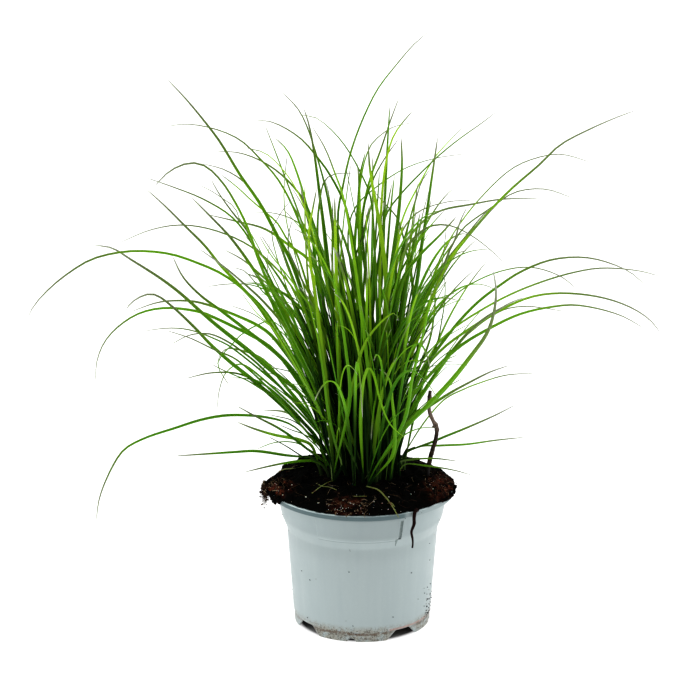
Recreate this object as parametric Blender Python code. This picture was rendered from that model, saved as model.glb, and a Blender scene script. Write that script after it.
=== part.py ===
"""A clump of ornamental grass growing in peat in a round nursery pot.

Metres, +Z up. The origin is on the ground under the middle of the pot, and the viewer stands at -Y.
The grass is a set of shoots. Each shoot is one solid: a short sheath with its blades grown out of it.
Blades that the viewer sees follow routes read by eye, point by point, each with a depth of its own.
The rest are arches that a formula gives. No shoot touches another, nor the peat or the pot.
"""

import math

import bmesh
import bpy
import numpy as np
from mathutils.bvhtree import BVHTree

MM = 0.001
UP = np.array((0.0, 0.0, 1.0))
# Edges that turn by more than this many degrees are shaded sharp
SHARP_ANGLE = 40
POT_SHARP_ANGLE = 30

# The pot, a nursery pot of 17 cm across its rim and about 2 litres
POT_HEIGHT = 130 * MM
RIM_RADIUS = 85 * MM
RIM_DEPTH = 4.8 * MM
WALL = 1.4 * MM
FOOT_RADIUS = 62.6 * MM
FLOOR_BOTTOM = 9.5 * MM
FLOOR_TOP = 11 * MM
POT_SIDES = 40
MERGE_DISTANCE = 0.1 * MM
# The outer wall, from the floor's height to just under the rim: radius and height
BODY_LOW = (63.4 * MM, FLOOR_BOTTOM)
SHOULDER_LOW = (69.4 * MM, 92 * MM)
SHOULDER_HIGH = (74.2 * MM, 104 * MM)
BODY_HIGH = (79.6 * MM, 128.6 * MM)

# Notches in the foot: bearings from the viewer's side, width at the ground and height
BIG_NOTCHES = [-54, 36, 126, 216]
SMALL_NOTCHES = [-9, 81, 171, 261]
BIG_NOTCH = (33 * MM, 8.6 * MM)
SMALL_NOTCH = (8 * MM, 3.2 * MM)
NOTCH_TOP_SHARE = 0.45
NOTCH_REACH = 8 * MM
DRAIN_RADIUS = 5 * MM
DRAIN_CIRCLE = 46 * MM
DRAIN_SIDES = 8

# The label panel on the front, above the shoulder, with a slot for a tag beside its right end
PANEL_BEARINGS = (-33, 25.2)
PANEL_HEIGHTS = (100.5 * MM, 123.5 * MM)
PANEL_STANDS_PROUD = 0.8 * MM
PANEL_LOW_EDGE_PROUD = 0.1 * MM
PANEL_BACK = -0.6 * WALL
PANEL_COLUMNS = 8
SLOT_TOP = (27.6, 120 * MM)
SLOT_BOTTOM = (27.2, 101 * MM)
SLOT_WIDTH = 2.6 * MM
SLOT_FROM_WALL = (-0.4 * MM, 4 * MM)

# The small rounding at the edges of the rim, and the small step where the wall goes over into the foot
RIM_EDGE = 0.7 * MM
STEP_ABOVE_FLOOR = 0.8 * MM
STEP_BELOW_FLOOR = 0.6 * MM
STEP_OUT = 0.2 * MM

# The peat, a domed plug that spills over the rim at both sides
GAP = 0.3 * MM
PEAT_SIDES = 20
CROWN_HEIGHT = 143 * MM
CROWN_RADIUS = 44 * MM
PEAT_EDGE = 131.4 * MM
PEAT_SLOPE_BEND = 1.3
PEAT_RING_SHARES = (0.975, 0.86, 0.7)
PEAT_SPILL_THICKNESS = 0.6 * MM
# How far above the rim the peat's underside lies where it spills, at the wall and at its edge
SPILL_CLEARANCE = 1.3 * GAP
SPILL_EDGE_CLEARANCE = 2 * GAP
# Each spill over the rim: its bearing, half its width in degrees and its reach past the rim
SPILLS = [(-90, 40, 10.5 * MM), (88, 30, 6.5 * MM)]
SPILL_SETBACK = 5 * MM
# Each hump: its bearing, its distance from the axis in millimetres, half its width in degrees, its rise
PEAT_HUMPS = [(-112, 66, 34, 6 * MM), (-70, 74, 26, 4 * MM), (80, 72, 30, 1.2 * MM), (4, 66, 30, 1.5 * MM)]
HUMP_HALF_DEPTH = 20
# The clot of rooty peat that hangs from the left spill, outside the rim: its middle and its half sizes
CLOT_BEARING = -90
CLOT_PLACE = (89.9 * MM, 121 * MM)
CLOT_HALF_SIZES = (4.3 * MM, 12 * MM, 12 * MM)

# Where the viewer's eye is, and how the view maps to its 700 x 700 picture
EYE = np.array((-0.0113, -2.5, 1.019))
EYE_TILT = math.radians(16.9)
FOCAL_PIXELS = 2882.0
FRAME_MIDDLE = 350.0
CROWN_PIXEL = np.array((361.0, 472.0))

# The clump's reach, which makes its box even about the pot's axis
REACH_SIDE = 288 * MM
REACH_FRONT = 262 * MM

# A blade and its sheath
SHEATH_SIDES = 5
SHEATH_RADIUS = 2.9 * MM
SHEATH_LENGTH = 17 * MM
SHEATH_TOP_SHARE = 0.72
BLADE_START = 1.2 * MM
BLADE_ASIDE = 0.9 * MM
ASIDE_FADE = 3
KEEL_SHARE = 0.26
BLADE_CLEARANCE = 0.45 * MM
FEWEST_SEGMENTS = 5
MOST_SEGMENTS = 9
BEND_PER_SEGMENT = 30
BEND_SAMPLES = 24
# A blade is widest a third of the way up, starts at this share of that width and thins out to its tip
START_WIDTH_SHARE = 0.62
WIDEST_AT = 0.28
TIP_FALL = 0.62
TIP_WIDTH = 0.25 * MM
# The share of its length at which a blade's face has turned as far as it does
TURNED_AT = 0.45
# How fast a traced blade leaves the depth of its foot for that of its tip, and how steeply it starts
DEPTH_BEND = 1.15
START_LIFT = 0.5
DEPTH_STEP = 9 * MM
DEPTH_TRIES = 15
GOLDEN_ANGLE = math.radians(137.508)
CELL_COUNT = 62
CROWN_INSET_RADII = 1.5
FEET_TRIED = 18
SEED = 5

# Ranges for the arches, which are drawn at random: length in metres, lean at the foot and droop at the tip
HIDDEN_ARCH = ((0.22, 0.37), (10, 28), (75, 125))
COMPANION_ARCH = ((0.20, 0.37), (3, 18), (28, 85))
ARCH_WIDTHS = (3.2 * MM, 4.8 * MM)
ARCH_TRIES = 14
ARCH_BEND = 1.6
ARCH_POINTS = 25
HIDDEN_FOOT_SHARE = 0.7
MOST_SWAY = 0.1
MOST_TURN = 50
BEARING_SPREAD = 7
COMPANION_SPREAD = 35
MOST_BLADES = 3

# The dense part of the clump as the viewer sees it: its height in pixels above the crown, how fast it
# narrows away from upright, and its least share of that height
DENSE_TOP = 335
DENSE_FALL = 1.7
DENSE_LEAST = 0.2

COLOURS = {
    "plastic": ((0.45, 0.53, 0.54), 0.42),
    "peat": ((0.022, 0.013, 0.009), 0.95),
    "grass": ((0.10, 0.27, 0.035), 0.45),
    "bark": ((0.09, 0.045, 0.025), 0.8),
    "root": ((0.045, 0.018, 0.012), 0.85),
    "straw": ((0.38, 0.36, 0.08), 0.6),
}


def blade(depth, width, turn, *pixels):
    """One traced blade: its tip's place along Y and its width in millimetres, how far its face is turned
    about its length in degrees, and the pixels that it passes on its way from the clump to its tip. A tip
    with no place of its own along Y lies at the clump's full reach to that side."""
    place = depth and depth * MM
    return {"depth": place, "width": width * MM, "turn": turn, "pixels": np.array(pixels, float)}


# The shoots whose blades the viewer can follow, with each blade's pixels from the clump to the tip
TRACED = {
    "shoot_left_01": [
        blade(None, 3.6, 40, (270, 318), (240, 287), (220, 273), (200, 264), (170, 254), (135, 251),
              (110, 254), (90, 260), (70, 272), (50, 288), (33, 307), (27, 320)),
        blade(-10, 2.4, 30, (300, 300), (270, 262), (245, 243), (210, 229), (180, 225), (150, 230),
              (117, 244)),
    ],
    "shoot_left_02": [
        blade(-90, 4.8, 58, (300, 395), (290, 385), (270, 370), (250, 352), (230, 336), (215, 324),
              (200, 311), (180, 293), (160, 278), (130, 259), (112, 248), (92, 245)),
        blade(-60, 2.6, 35, (240, 362), (215, 350), (190, 338), (165, 330)),
    ],
    "shoot_left_03": [
        blade(-40, 4.6, 50, (310, 435), (290, 414), (270, 395), (250, 378), (230, 362), (210, 344),
              (195, 328), (175, 309), (158, 296), (150, 294), (140, 297), (130, 304), (125, 312)),
        blade(-25, 3.2, 30, (272, 390), (250, 378), (235, 373), (210, 373), (184, 379)),
    ],
    "shoot_left_04": [
        blade(60, 3.8, 35, (275, 352), (250, 335), (240, 330), (215, 318), (200, 312), (165, 308),
              (140, 313), (120, 325), (105, 341), (97, 360), (95, 385)),
        blade(35, 2.6, 40, (262, 368), (240, 350), (230, 343), (210, 334), (190, 335), (170, 345)),
    ],
    "shoot_left_05": [
        blade(95, 3.6, 45, (275, 340), (260, 327), (235, 315), (205, 304), (190, 301), (160, 302),
              (130, 312)),
        blade(70, 2.2, 30, (235, 350), (215, 339), (190, 330), (170, 328), (143, 331)),
    ],
    "shoot_left_06": [
        blade(115, 3.4, 30, (280, 380), (262, 359), (240, 350), (226, 349), (219, 356), (218, 366)),
        blade(80, 2.6, 20, (262, 378), (240, 364), (226, 372), (219, 390), (217, 410)),
    ],
    "shoot_left_07": [
        blade(-70, 3.6, 45, (320, 450), (310, 440), (290, 424), (265, 417), (235, 415), (220, 416),
              (200, 420), (175, 428), (145, 438), (126, 448), (118, 457), (106, 480), (99, 500),
              (96, 523)),
        blade(-45, 3.8, 55, (305, 447), (280, 429), (255, 416), (237, 406)),
    ],
    "shoot_left_08": [
        blade(-15, 3.4, 35, (312, 458), (295, 456), (285, 455), (255, 451), (235, 452), (205, 454),
              (175, 456)),
        blade(70, 3.4, 45, (312, 446), (300, 440), (275, 435), (255, 429), (237, 422)),
    ],
    "shoot_left_09": [
        blade(60, 4.0, 50, (292, 265), (278, 238), (260, 204), (240, 175), (220, 142), (205, 122),
              (185, 98), (165, 77)),
        blade(30, 3.0, 35, (262, 262), (235, 220), (205, 200), (173, 187), (144, 177)),
    ],
    "shoot_left_10": [
        blade(120, 2.6, 25, (305, 240), (280, 183), (260, 159), (240, 140), (215, 129), (185, 124),
              (160, 128)),
        blade(100, 2.6, 40, (290, 270), (264, 210), (245, 183), (225, 170), (200, 163)),
    ],
    "shoot_left_11": [
        blade(150, 3.0, 30, (318, 240), (303, 200), (285, 178), (265, 163), (240, 153), (212, 151)),
        blade(160, 3.6, 45, (325, 290), (310, 261), (290, 246), (265, 229), (235, 221), (205, 214)),
    ],
    "shoot_left_12": [
        blade(-110, 3.0, 40, (315, 240), (297, 190), (280, 166), (265, 153), (242, 147)),
        blade(-30, 3.8, 55, (265, 275), (253, 245), (248, 232), (233, 213), (218, 192), (210, 177)),
    ],
    "shoot_left_13": [
        blade(-60, 4.2, 50, (262, 270), (250, 235), (245, 222), (236, 204), (222, 182), (205, 166),
              (190, 163), (170, 171), (152, 189)),
        blade(10, 4.4, 60, (266, 290), (250, 264), (230, 237), (210, 216), (190, 196)),
    ],
    "shoot_left_14": [
        blade(-100, 4.8, 60, (262, 312), (240, 286), (220, 265), (205, 246), (185, 226), (165, 206),
              (145, 188)),
        blade(-120, 4.4, 55, (290, 335), (265, 303), (240, 280), (222, 265), (198, 248)),
    ],
    "shoot_left_15": [
        blade(20, 4.4, 50, (300, 382), (280, 357), (250, 333), (220, 310), (200, 295), (183, 277),
              (172, 255)),
        blade(130, 3.0, 40, (285, 300), (262, 276), (243, 260), (223, 249)),
    ],
    "shoot_left_16": [
        blade(-60, 2.8, 30, (318, 462), (300, 461), (285, 463), (270, 466), (245, 472)),
        blade(100, 3.0, 40, (318, 440), (300, 420), (285, 412), (262, 410)),
    ],
    "shoot_top_01": [
        blade(95, 3.8, 20, (346, 210), (340, 194), (328, 172), (317, 157), (300, 138), (272, 122),
              (252, 120)),
        blade(-70, 4.4, 50, (318, 270), (300, 215), (285, 176), (275, 150), (264, 122)),
    ],
    "shoot_top_02": [
        blade(190, 4.0, 10, (318, 245), (308, 212), (305, 200), (297, 173), (287, 150), (273, 136)),
        blade(130, 2.4, 20, (332, 220), (318, 160), (300, 112), (280, 90)),
    ],
    "shoot_top_03": [
        blade(40, 4.6, 30, (326, 250), (320, 200), (318, 182), (314, 152), (309, 125), (303, 106)),
        blade(-40, 4.0, 20, (318, 240), (320, 200), (325, 180), (334, 174), (358, 173)),
    ],
    "shoot_top_04": [
        blade(-120, 3.6, 15, (374, 240), (370, 195), (362, 175), (347, 148), (332, 130), (315, 117),
              (296, 115)),
        blade(-170, 3.6, 10, (350, 230), (342, 192), (336, 176), (325, 148), (310, 123)),
    ],
    "shoot_top_05": [
        blade(30, 3.6, 35, (337, 215), (342, 187), (348, 160), (356, 135), (366, 111), (378, 88),
              (395, 66), (415, 43), (431, 30)),
        blade(150, 4.0, 10, (355, 245), (358, 205), (360, 175), (366, 150)),
    ],
    "shoot_top_06": [
        blade(-150, 5.2, 5, (386, 300), (383, 250), (377, 210), (370, 170), (368, 140)),
        blade(60, 2.6, 20, (360, 190), (369, 149), (376, 139), (395, 126), (418, 122)),
    ],
    "shoot_top_07": [
        blade(10, 4.0, 25, (382, 260), (384, 215), (386, 175), (388, 135), (390, 104)),
        blade(170, 3.6, 15, (362, 225), (370, 180), (380, 152), (390, 122), (400, 95)),
    ],
    "shoot_top_08": [
        blade(-30, 3.0, 30, (382, 190), (390, 145), (397, 130), (415, 108)),
        blade(-85, 5.0, 15, (388, 300), (394, 250), (399, 210), (402, 165), (401, 135)),
    ],
    "shoot_top_09": [
        blade(120, 3.0, 25, (362, 220), (372, 182), (385, 158), (400, 137)),
        blade(100, 2.4, 20, (348, 240), (355, 208), (376, 187), (405, 168), (435, 158), (470, 153)),
    ],
    "shoot_right_01": [
        blade(60, 3.8, 45, (378, 255), (385, 215), (399, 195), (425, 168), (440, 154), (460, 138),
              (480, 124), (500, 109)),
        blade(150, 3.8, 40, (396, 250), (404, 215), (417, 188), (434, 158), (447, 143), (465, 125)),
    ],
    "shoot_right_02": [
        blade(-60, 4.6, 35, (415, 290), (421, 248), (426, 218), (430, 190), (434, 163), (438, 135)),
        blade(-30, 4.4, 50, (436, 290), (450, 250), (455, 240), (460, 222), (468, 205)),
    ],
    "shoot_right_03": [
        blade(-40, 3.8, 55, (425, 300), (445, 265), (455, 252), (485, 216), (510, 190), (540, 164),
              (560, 145), (590, 129), (620, 116), (640, 109)),
        blade(10, 3.8, 50, (425, 292), (445, 262), (465, 237), (485, 213), (503, 200)),
    ],
    "shoot_right_04": [
        blade(120, 3.0, 35, (438, 260), (460, 222), (485, 192), (512, 168), (535, 158), (560, 154),
              (593, 163)),
        blade(80, 3.2, 40, (435, 272), (455, 240), (463, 228), (490, 208), (515, 192), (545, 189),
              (575, 199)),
    ],
    "shoot_right_05": [
        blade(180, 3.8, 30, (390, 290), (402, 247), (422, 221), (440, 210), (470, 204), (500, 199),
              (543, 198)),
        blade(140, 2.4, 25, (395, 250), (415, 214), (445, 202), (475, 200)),
    ],
    "shoot_right_06": [
        blade(-100, 4.2, 30, (396, 290), (405, 250), (412, 240), (430, 226), (450, 225), (470, 234),
              (490, 249), (510, 268)),
        blade(-90, 4.6, 50, (394, 310), (405, 275), (420, 255), (440, 235), (458, 215)),
    ],
    "shoot_right_07": [
        blade(-60, 3.8, 50, (415, 382), (430, 358), (440, 345), (460, 320), (480, 300), (500, 285),
              (520, 272), (550, 260), (578, 257), (600, 260), (630, 272), (647, 287)),
        blade(-70, 4.0, 60, (450, 355), (480, 322), (503, 307), (512, 302), (525, 297)),
    ],
    "shoot_right_08": [
        blade(None, 3.6, 45, (430, 352), (450, 330), (480, 310), (510, 294), (540, 282), (570, 273),
              (600, 268), (640, 271), (662, 277)),
        blade(110, 2.6, 35, (412, 350), (430, 320), (450, 299), (470, 284), (500, 271), (530, 267),
              (560, 276), (578, 290)),
    ],
    "shoot_right_09": [
        blade(20, 4.0, 50, (420, 375), (440, 350), (470, 328), (500, 310), (530, 297), (560, 293),
              (600, 297), (630, 307), (650, 320), (662, 335)),
        blade(60, 2.8, 30, (450, 352), (475, 328), (485, 320), (505, 309), (525, 306), (545, 308),
              (568, 312)),
    ],
    "shoot_right_10": [
        blade(-110, 4.0, 50, (410, 400), (430, 374), (460, 346), (490, 328), (520, 314), (550, 307),
              (577, 305), (620, 315), (647, 330)),
        blade(-40, 4.2, 50, (412, 417), (430, 406), (450, 393), (470, 382), (490, 372), (510, 365)),
    ],
    "shoot_right_11": [
        blade(-130, 4.6, 60, (400, 435), (410, 422), (430, 403), (450, 382), (470, 357), (487, 333),
              (494, 312), (496, 290), (493, 269)),
    ],
    "shoot_right_12": [
        blade(40, 2.6, 35, (440, 402), (465, 388), (478, 383), (505, 375), (535, 373)),
        blade(120, 3.0, 40, (420, 390), (438, 366), (445, 362), (455, 361)),
    ],
    "shoot_right_13": [
        blade(20, 4.0, 45, (405, 453), (435, 440), (465, 428), (495, 415), (515, 405)),
        blade(70, 3.6, 40, (402, 457), (420, 446), (440, 445), (465, 444), (495, 440), (525, 437)),
    ],
    "shoot_right_14": [
        blade(-15, 3.2, 30, (398, 462), (410, 459), (435, 458), (458, 461)),
        blade(-45, 2.6, 30, (405, 464), (425, 465), (455, 470), (472, 475)),
    ],
    "shoot_front_01": [
        blade(-62, 5.2, 10, (338, 420), (345, 405), (352, 393), (362, 381), (371, 369), (376, 368),
              (378, 378), (376, 395), (373, 415), (371, 440)),
    ],
    "shoot_front_02": [
        blade(-100, 4.8, 20, (346, 420), (350, 395), (355, 375), (362, 350), (370, 335), (388, 316),
              (395, 313), (399, 321)),
    ],
    "shoot_front_03": [
        blade(-150, 4.4, 10, (360, 430), (361, 400), (364, 378), (369, 367), (374, 376), (380, 400),
              (390, 424), (405, 438)),
    ],
    "shoot_front_04": [
        blade(-90, 4.8, 10, (392, 455), (394, 420), (392, 400), (391, 385), (386, 374), (379, 369)),
        blade(-120, 5.0, 20, (405, 420), (412, 380), (424, 330), (432, 290)),
    ],
    "shoot_front_05": [
        blade(-70, 5.0, 20, (341, 465), (337, 450), (332, 430), (328, 410), (323, 370), (316, 330),
              (305, 290)),
        blade(-130, 4.6, 15, (350, 400), (346, 350), (336, 290), (330, 250)),
    ],
}

# Shoots that the viewer can't follow, which fill the front and the back, each with its blades' bearings
HIDDEN = {
    "shoot_back_01": (178, 194),
    "shoot_back_02": (156, 168),
    "shoot_back_03": (202, 214),
    "shoot_back_04": (138, 150),
    "shoot_back_05": (170, 186),
    "shoot_front_06": (2, -14),
    "shoot_front_07": (22, 34),
    "shoot_front_08": (12, -8),
}
FULL_REACH = {"shoot_back_01": REACH_FRONT, "shoot_front_06": -REACH_FRONT}

# The single pieces on the peat: pixels, depths in millimetres and radii in millimetres
TWIG_PIXELS = [(427.5, 473), (428, 468), (431, 455.5), (434, 445), (436, 438), (436.9, 431), (436.4, 427),
               (434, 422.5), (431.3, 416.5), (429.2, 410), (428.8, 403), (429.5, 398), (430.4, 391)]
TWIG_DEPTH = -8 * MM
TWIG_RADII = (1.9 * MM, 1.45 * MM)
TWIG_SPUR_PIXELS = [(436.4, 428), (434.2, 427.3), (432, 426.6)]
TWIG_SPUR_RADII = (1.1 * MM, 0.9 * MM)
ROD_SIDES = 6
ROD_RINGS = 12
SPUR_SIDES = 5
SPUR_RINGS = 3
ROOT_ROUTE = [(49.8, -63.9, 133.2), (48.3, -69.2, 134.0), (47.0, -73.6, 132.4), (46.4, -75.4, 127),
              (45.9, -75.2, 119), (44.3, -75.2, 112.5), (44.3, -74.6, 106), (44.9, -73.8, 100),
              (44.8, -73.4, 93.5)]
ROOT_RADII = (1.6 * MM, 0.5 * MM)
LAID_PIXELS = [(366, 486), (377, 489), (384, 495), (390, 502.5), (394.4, 509.5), (399, 518)]
LAID_DEPTHS = [-46, -53, -63, -73, -80, -84]
LAID_WIDTH = 2.2 * MM
LAID_TURN = 15


def clear_scene():
    for item in list(bpy.data.objects):
        bpy.data.objects.remove(item, do_unlink=True)


def material(name):
    colour, roughness = COLOURS[name]
    made = bpy.data.materials.get(name)
    if made is None:
        made = bpy.data.materials.new(name)
        made.use_nodes = True
        shader = made.node_tree.nodes["Principled BSDF"]
        shader.inputs["Base Color"].default_value = (*colour, 1)
        shader.inputs["Roughness"].default_value = roughness
        shader.inputs["Metallic"].default_value = 0
    return made


def new_object(name, points, faces, finish):
    """A mesh object from points and faces, shaded smooth but for its sharp edges."""
    mesh = bpy.data.meshes.new(name)
    mesh.from_pydata([tuple(p) for p in points], [], [tuple(int(i) for i in face) for face in faces])
    mesh.materials.append(material(finish))
    made = bpy.data.objects.new(name, mesh)
    bpy.context.scene.collection.objects.link(made)
    mesh.shade_smooth()
    mesh.set_sharp_from_angle(angle=math.radians(SHARP_ANGLE))
    return made


def join_solids(name, parts, operation="UNION", solver="EXACT"):
    """One object from the first solid and the rest, which a Boolean adds to it or takes from it."""
    base = parts[0]
    for other in parts[1:]:
        step = base.modifiers.new(operation.title(), "BOOLEAN")
        step.operation = operation
        step.solver = solver
        step.object = other
    mesh = bpy.data.meshes.new_from_object(base.evaluated_get(bpy.context.evaluated_depsgraph_get()))
    mesh.name = name
    made = bpy.data.objects.new(name, mesh)
    bpy.context.scene.collection.objects.link(made)
    for part in parts:
        bpy.data.objects.remove(part, do_unlink=True)
    drop_crumbs(mesh)
    return made


def drop_crumbs(mesh):
    """Keeps only the largest closed piece of a mesh, because a Boolean can leave slivers beside it."""
    form = bmesh.new()
    form.from_mesh(mesh)
    left, pieces = set(form.verts), []
    while left:
        piece, edge = set(), [left.pop()]
        while edge:
            vertex = edge.pop()
            piece.add(vertex)
            near = {link.other_vert(vertex) for link in vertex.link_edges} & left
            left -= near
            edge += near
        pieces.append(piece)
    pieces.sort(key=len)
    for piece in pieces[:-1]:
        bmesh.ops.delete(form, geom=list(piece), context="VERTS")
    form.to_mesh(mesh)
    form.free()


def heading(bearing):
    """The level direction at a bearing in degrees: 0 is towards the viewer, 90 is to the viewer's right."""
    angle = np.radians(bearing)
    return np.array((np.sin(angle), -np.cos(angle), 0.0))


# The pot

def wall_radius(height):
    """The outer wall's radius at a height, from straight stretches below, along and above the shoulder."""
    stations = (BODY_LOW, SHOULDER_LOW, SHOULDER_HIGH, BODY_HIGH)
    return float(np.interp(height, [z for _, z in stations], [r for r, _ in stations]))


def pot_profile():
    """Radius and height along the pot's cut face, from the floor's middle over the rim to its underside."""
    inner = [(r - WALL, z) for r, z in (SHOULDER_LOW, SHOULDER_HIGH)]
    rim_inner = BODY_HIGH[0] - WALL
    rim_low = POT_HEIGHT - RIM_DEPTH
    lip_under = POT_HEIGHT - WALL
    return [
        (0, FLOOR_TOP),
        (BODY_LOW[0] - WALL, FLOOR_TOP),
        *inner,
        (rim_inner, lip_under),
        (rim_inner + RIM_EDGE, POT_HEIGHT),
        (RIM_RADIUS - RIM_EDGE, POT_HEIGHT),
        (RIM_RADIUS, POT_HEIGHT - RIM_EDGE),
        (RIM_RADIUS, rim_low),
        (RIM_RADIUS - WALL, rim_low),
        (RIM_RADIUS - WALL, lip_under),
        BODY_HIGH,
        SHOULDER_HIGH,
        SHOULDER_LOW,
        (BODY_LOW[0], FLOOR_BOTTOM + STEP_ABOVE_FLOOR),
        (FOOT_RADIUS + STEP_OUT, FLOOR_BOTTOM - STEP_BELOW_FLOOR),
        (FOOT_RADIUS, 0),
        (FOOT_RADIUS - WALL, 0),
        (FOOT_RADIUS - WALL, FLOOR_BOTTOM),
        (0, FLOOR_BOTTOM),
    ]


def turned_pot():
    points = [(r, 0, z) for r, z in pot_profile()]
    mesh = bpy.data.meshes.new("pot_profile")
    mesh.from_pydata(points, [(i, i + 1) for i in range(len(points) - 1)], [])
    mesh.materials.append(material("plastic"))
    made = bpy.data.objects.new("pot_profile", mesh)
    bpy.context.scene.collection.objects.link(made)
    turn = made.modifiers.new("Turn", "SCREW")
    turn.steps = POT_SIDES
    turn.render_steps = POT_SIDES
    turn.use_merge_vertices = True
    turn.merge_threshold = MERGE_DISTANCE
    turn.use_smooth_shade = True
    return made


def prism(name, outline, direction, near, far):
    """A solid with an outline of (across, height) points, running from near to far along a direction."""
    across = np.cross(UP, direction)
    ends = [np.array([direction * d + across * a + UP * z for a, z in outline]) for d in (near, far)]
    count = len(outline)
    sides = [(i, (i + 1) % count, count + (i + 1) % count, count + i) for i in range(count)]
    faces = [tuple(range(count))[::-1], tuple(range(count, 2 * count)), *sides]
    made = new_object(name, np.vstack(ends), faces, "plastic")
    outward(made)
    return made


def outward(item):
    """Turns every face of a closed mesh to point out."""
    form = bmesh.new()
    form.from_mesh(item.data)
    bmesh.ops.recalc_face_normals(form, faces=form.faces)
    form.to_mesh(item.data)
    form.free()


def notch_cutter(bearing, size):
    width, height = size
    top = width * NOTCH_TOP_SHARE
    outline = [(-width / 2, -MM), (width / 2, -MM), (top / 2, height), (-top / 2, height)]
    return prism("notch", outline, heading(bearing), FOOT_RADIUS - NOTCH_REACH, FOOT_RADIUS + NOTCH_REACH)


def drain_cutter(bearing):
    centre = heading(bearing) * DRAIN_CIRCLE
    turns = np.arange(DRAIN_SIDES) * 2 * np.pi / DRAIN_SIDES
    ring = centre + DRAIN_RADIUS * np.column_stack((np.cos(turns), np.sin(turns), 0 * turns))
    low = ring + UP * (FLOOR_BOTTOM - MM)
    high = ring + UP * (FLOOR_TOP + MM)
    count = len(turns)
    sides = [(i, (i + 1) % count, count + (i + 1) % count, count + i) for i in range(count)]
    faces = [tuple(range(count))[::-1], tuple(range(count, 2 * count)), *sides]
    made = new_object("drain", np.vstack((low, high)), faces, "plastic")
    outward(made)
    return made


def label_panel():
    """A curved slab that stands proud of the wall. Its back lies inside the wall's thickness."""
    bearings = np.linspace(*PANEL_BEARINGS, PANEL_COLUMNS)
    low, high = PANEL_HEIGHTS
    heights = (low, SHOULDER_HIGH[1], high)
    rise = (PANEL_LOW_EDGE_PROUD, PANEL_STANDS_PROUD, PANEL_STANDS_PROUD)
    rows = []
    for depth in (PANEL_BACK, None):
        for height, proud in zip(heights, rise):
            radius = wall_radius(height) + (proud if depth is None else depth)
            rows.append([heading(b) * radius + UP * height for b in bearings])
    rows = [rows[0], rows[1], rows[2], rows[5], rows[4], rows[3]]
    count = len(bearings)
    points = np.vstack(rows)
    faces = []
    for row in range(len(rows)):
        after = (row + 1) % len(rows)
        faces += [(row * count + i, row * count + i + 1, after * count + i + 1, after * count + i)
                  for i in range(count - 1)]
    ends = [tuple(row * count + end for row in range(len(rows))) for end in (0, count - 1)]
    faces += [ends[0][::-1], ends[1]]
    made = new_object("panel", points, faces, "plastic")
    outward(made)
    return made


def slot_cutter():
    """The tag slot: a narrow upright groove beside the panel's end, cut into the wall but not through it."""
    top = heading(SLOT_TOP[0]) * wall_radius(SLOT_TOP[1]) + UP * SLOT_TOP[1]
    bottom = heading(SLOT_BOTTOM[0]) * wall_radius(SLOT_BOTTOM[1]) + UP * SLOT_BOTTOM[1]
    out = heading((SLOT_TOP[0] + SLOT_BOTTOM[0]) / 2)
    across = np.cross(UP, out) * SLOT_WIDTH / 2
    points = [end + side * across + reach * out
              for end in (bottom, top) for side in (-1, 1) for reach in SLOT_FROM_WALL]
    faces = [(0, 2, 3, 1), (4, 5, 7, 6), (0, 1, 5, 4), (2, 6, 7, 3), (0, 4, 6, 2), (1, 3, 7, 5)]
    made = new_object("slot", points, faces, "plastic")
    outward(made)
    return made


def make_pot():
    body = join_solids("pot_body", [turned_pot(), label_panel()])
    cutters = [notch_cutter(b, BIG_NOTCH) for b in BIG_NOTCHES]
    cutters += [notch_cutter(b, SMALL_NOTCH) for b in SMALL_NOTCHES]
    cutters += [drain_cutter(b) for b in BIG_NOTCHES]
    cutters.append(slot_cutter())
    pot = join_solids("pot", [body, *cutters], "DIFFERENCE")
    pot.data.set_sharp_from_angle(angle=math.radians(POT_SHARP_ANGLE))
    return pot


# The peat

def bump(bearings, centre, half_width):
    """1 at the centre bearing, falling smoothly to 0 at half_width degrees to each side."""
    away = np.abs((np.asarray(bearings) - centre + 180) % 360 - 180)
    return np.where(away < half_width, 0.5 + 0.5 * np.cos(np.pi * np.minimum(away / half_width, 1)), 0.0)


def peat_height(radius, bearing):
    """The peat's top: a level crown, a slope down to the rim, and a few humps on the slope."""
    slope = np.clip((radius - CROWN_RADIUS) / (RIM_RADIUS - CROWN_RADIUS), 0, 1)
    height = CROWN_HEIGHT + (PEAT_EDGE - CROWN_HEIGHT) * slope**PEAT_SLOPE_BEND
    for centre, at, half_width, rise in PEAT_HUMPS:
        near = np.clip(1 - ((radius / MM - at) / HUMP_HALF_DEPTH) ** 2, 0, 1)
        height = height + rise * near * bump(bearing, centre, half_width)
    return height


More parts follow.
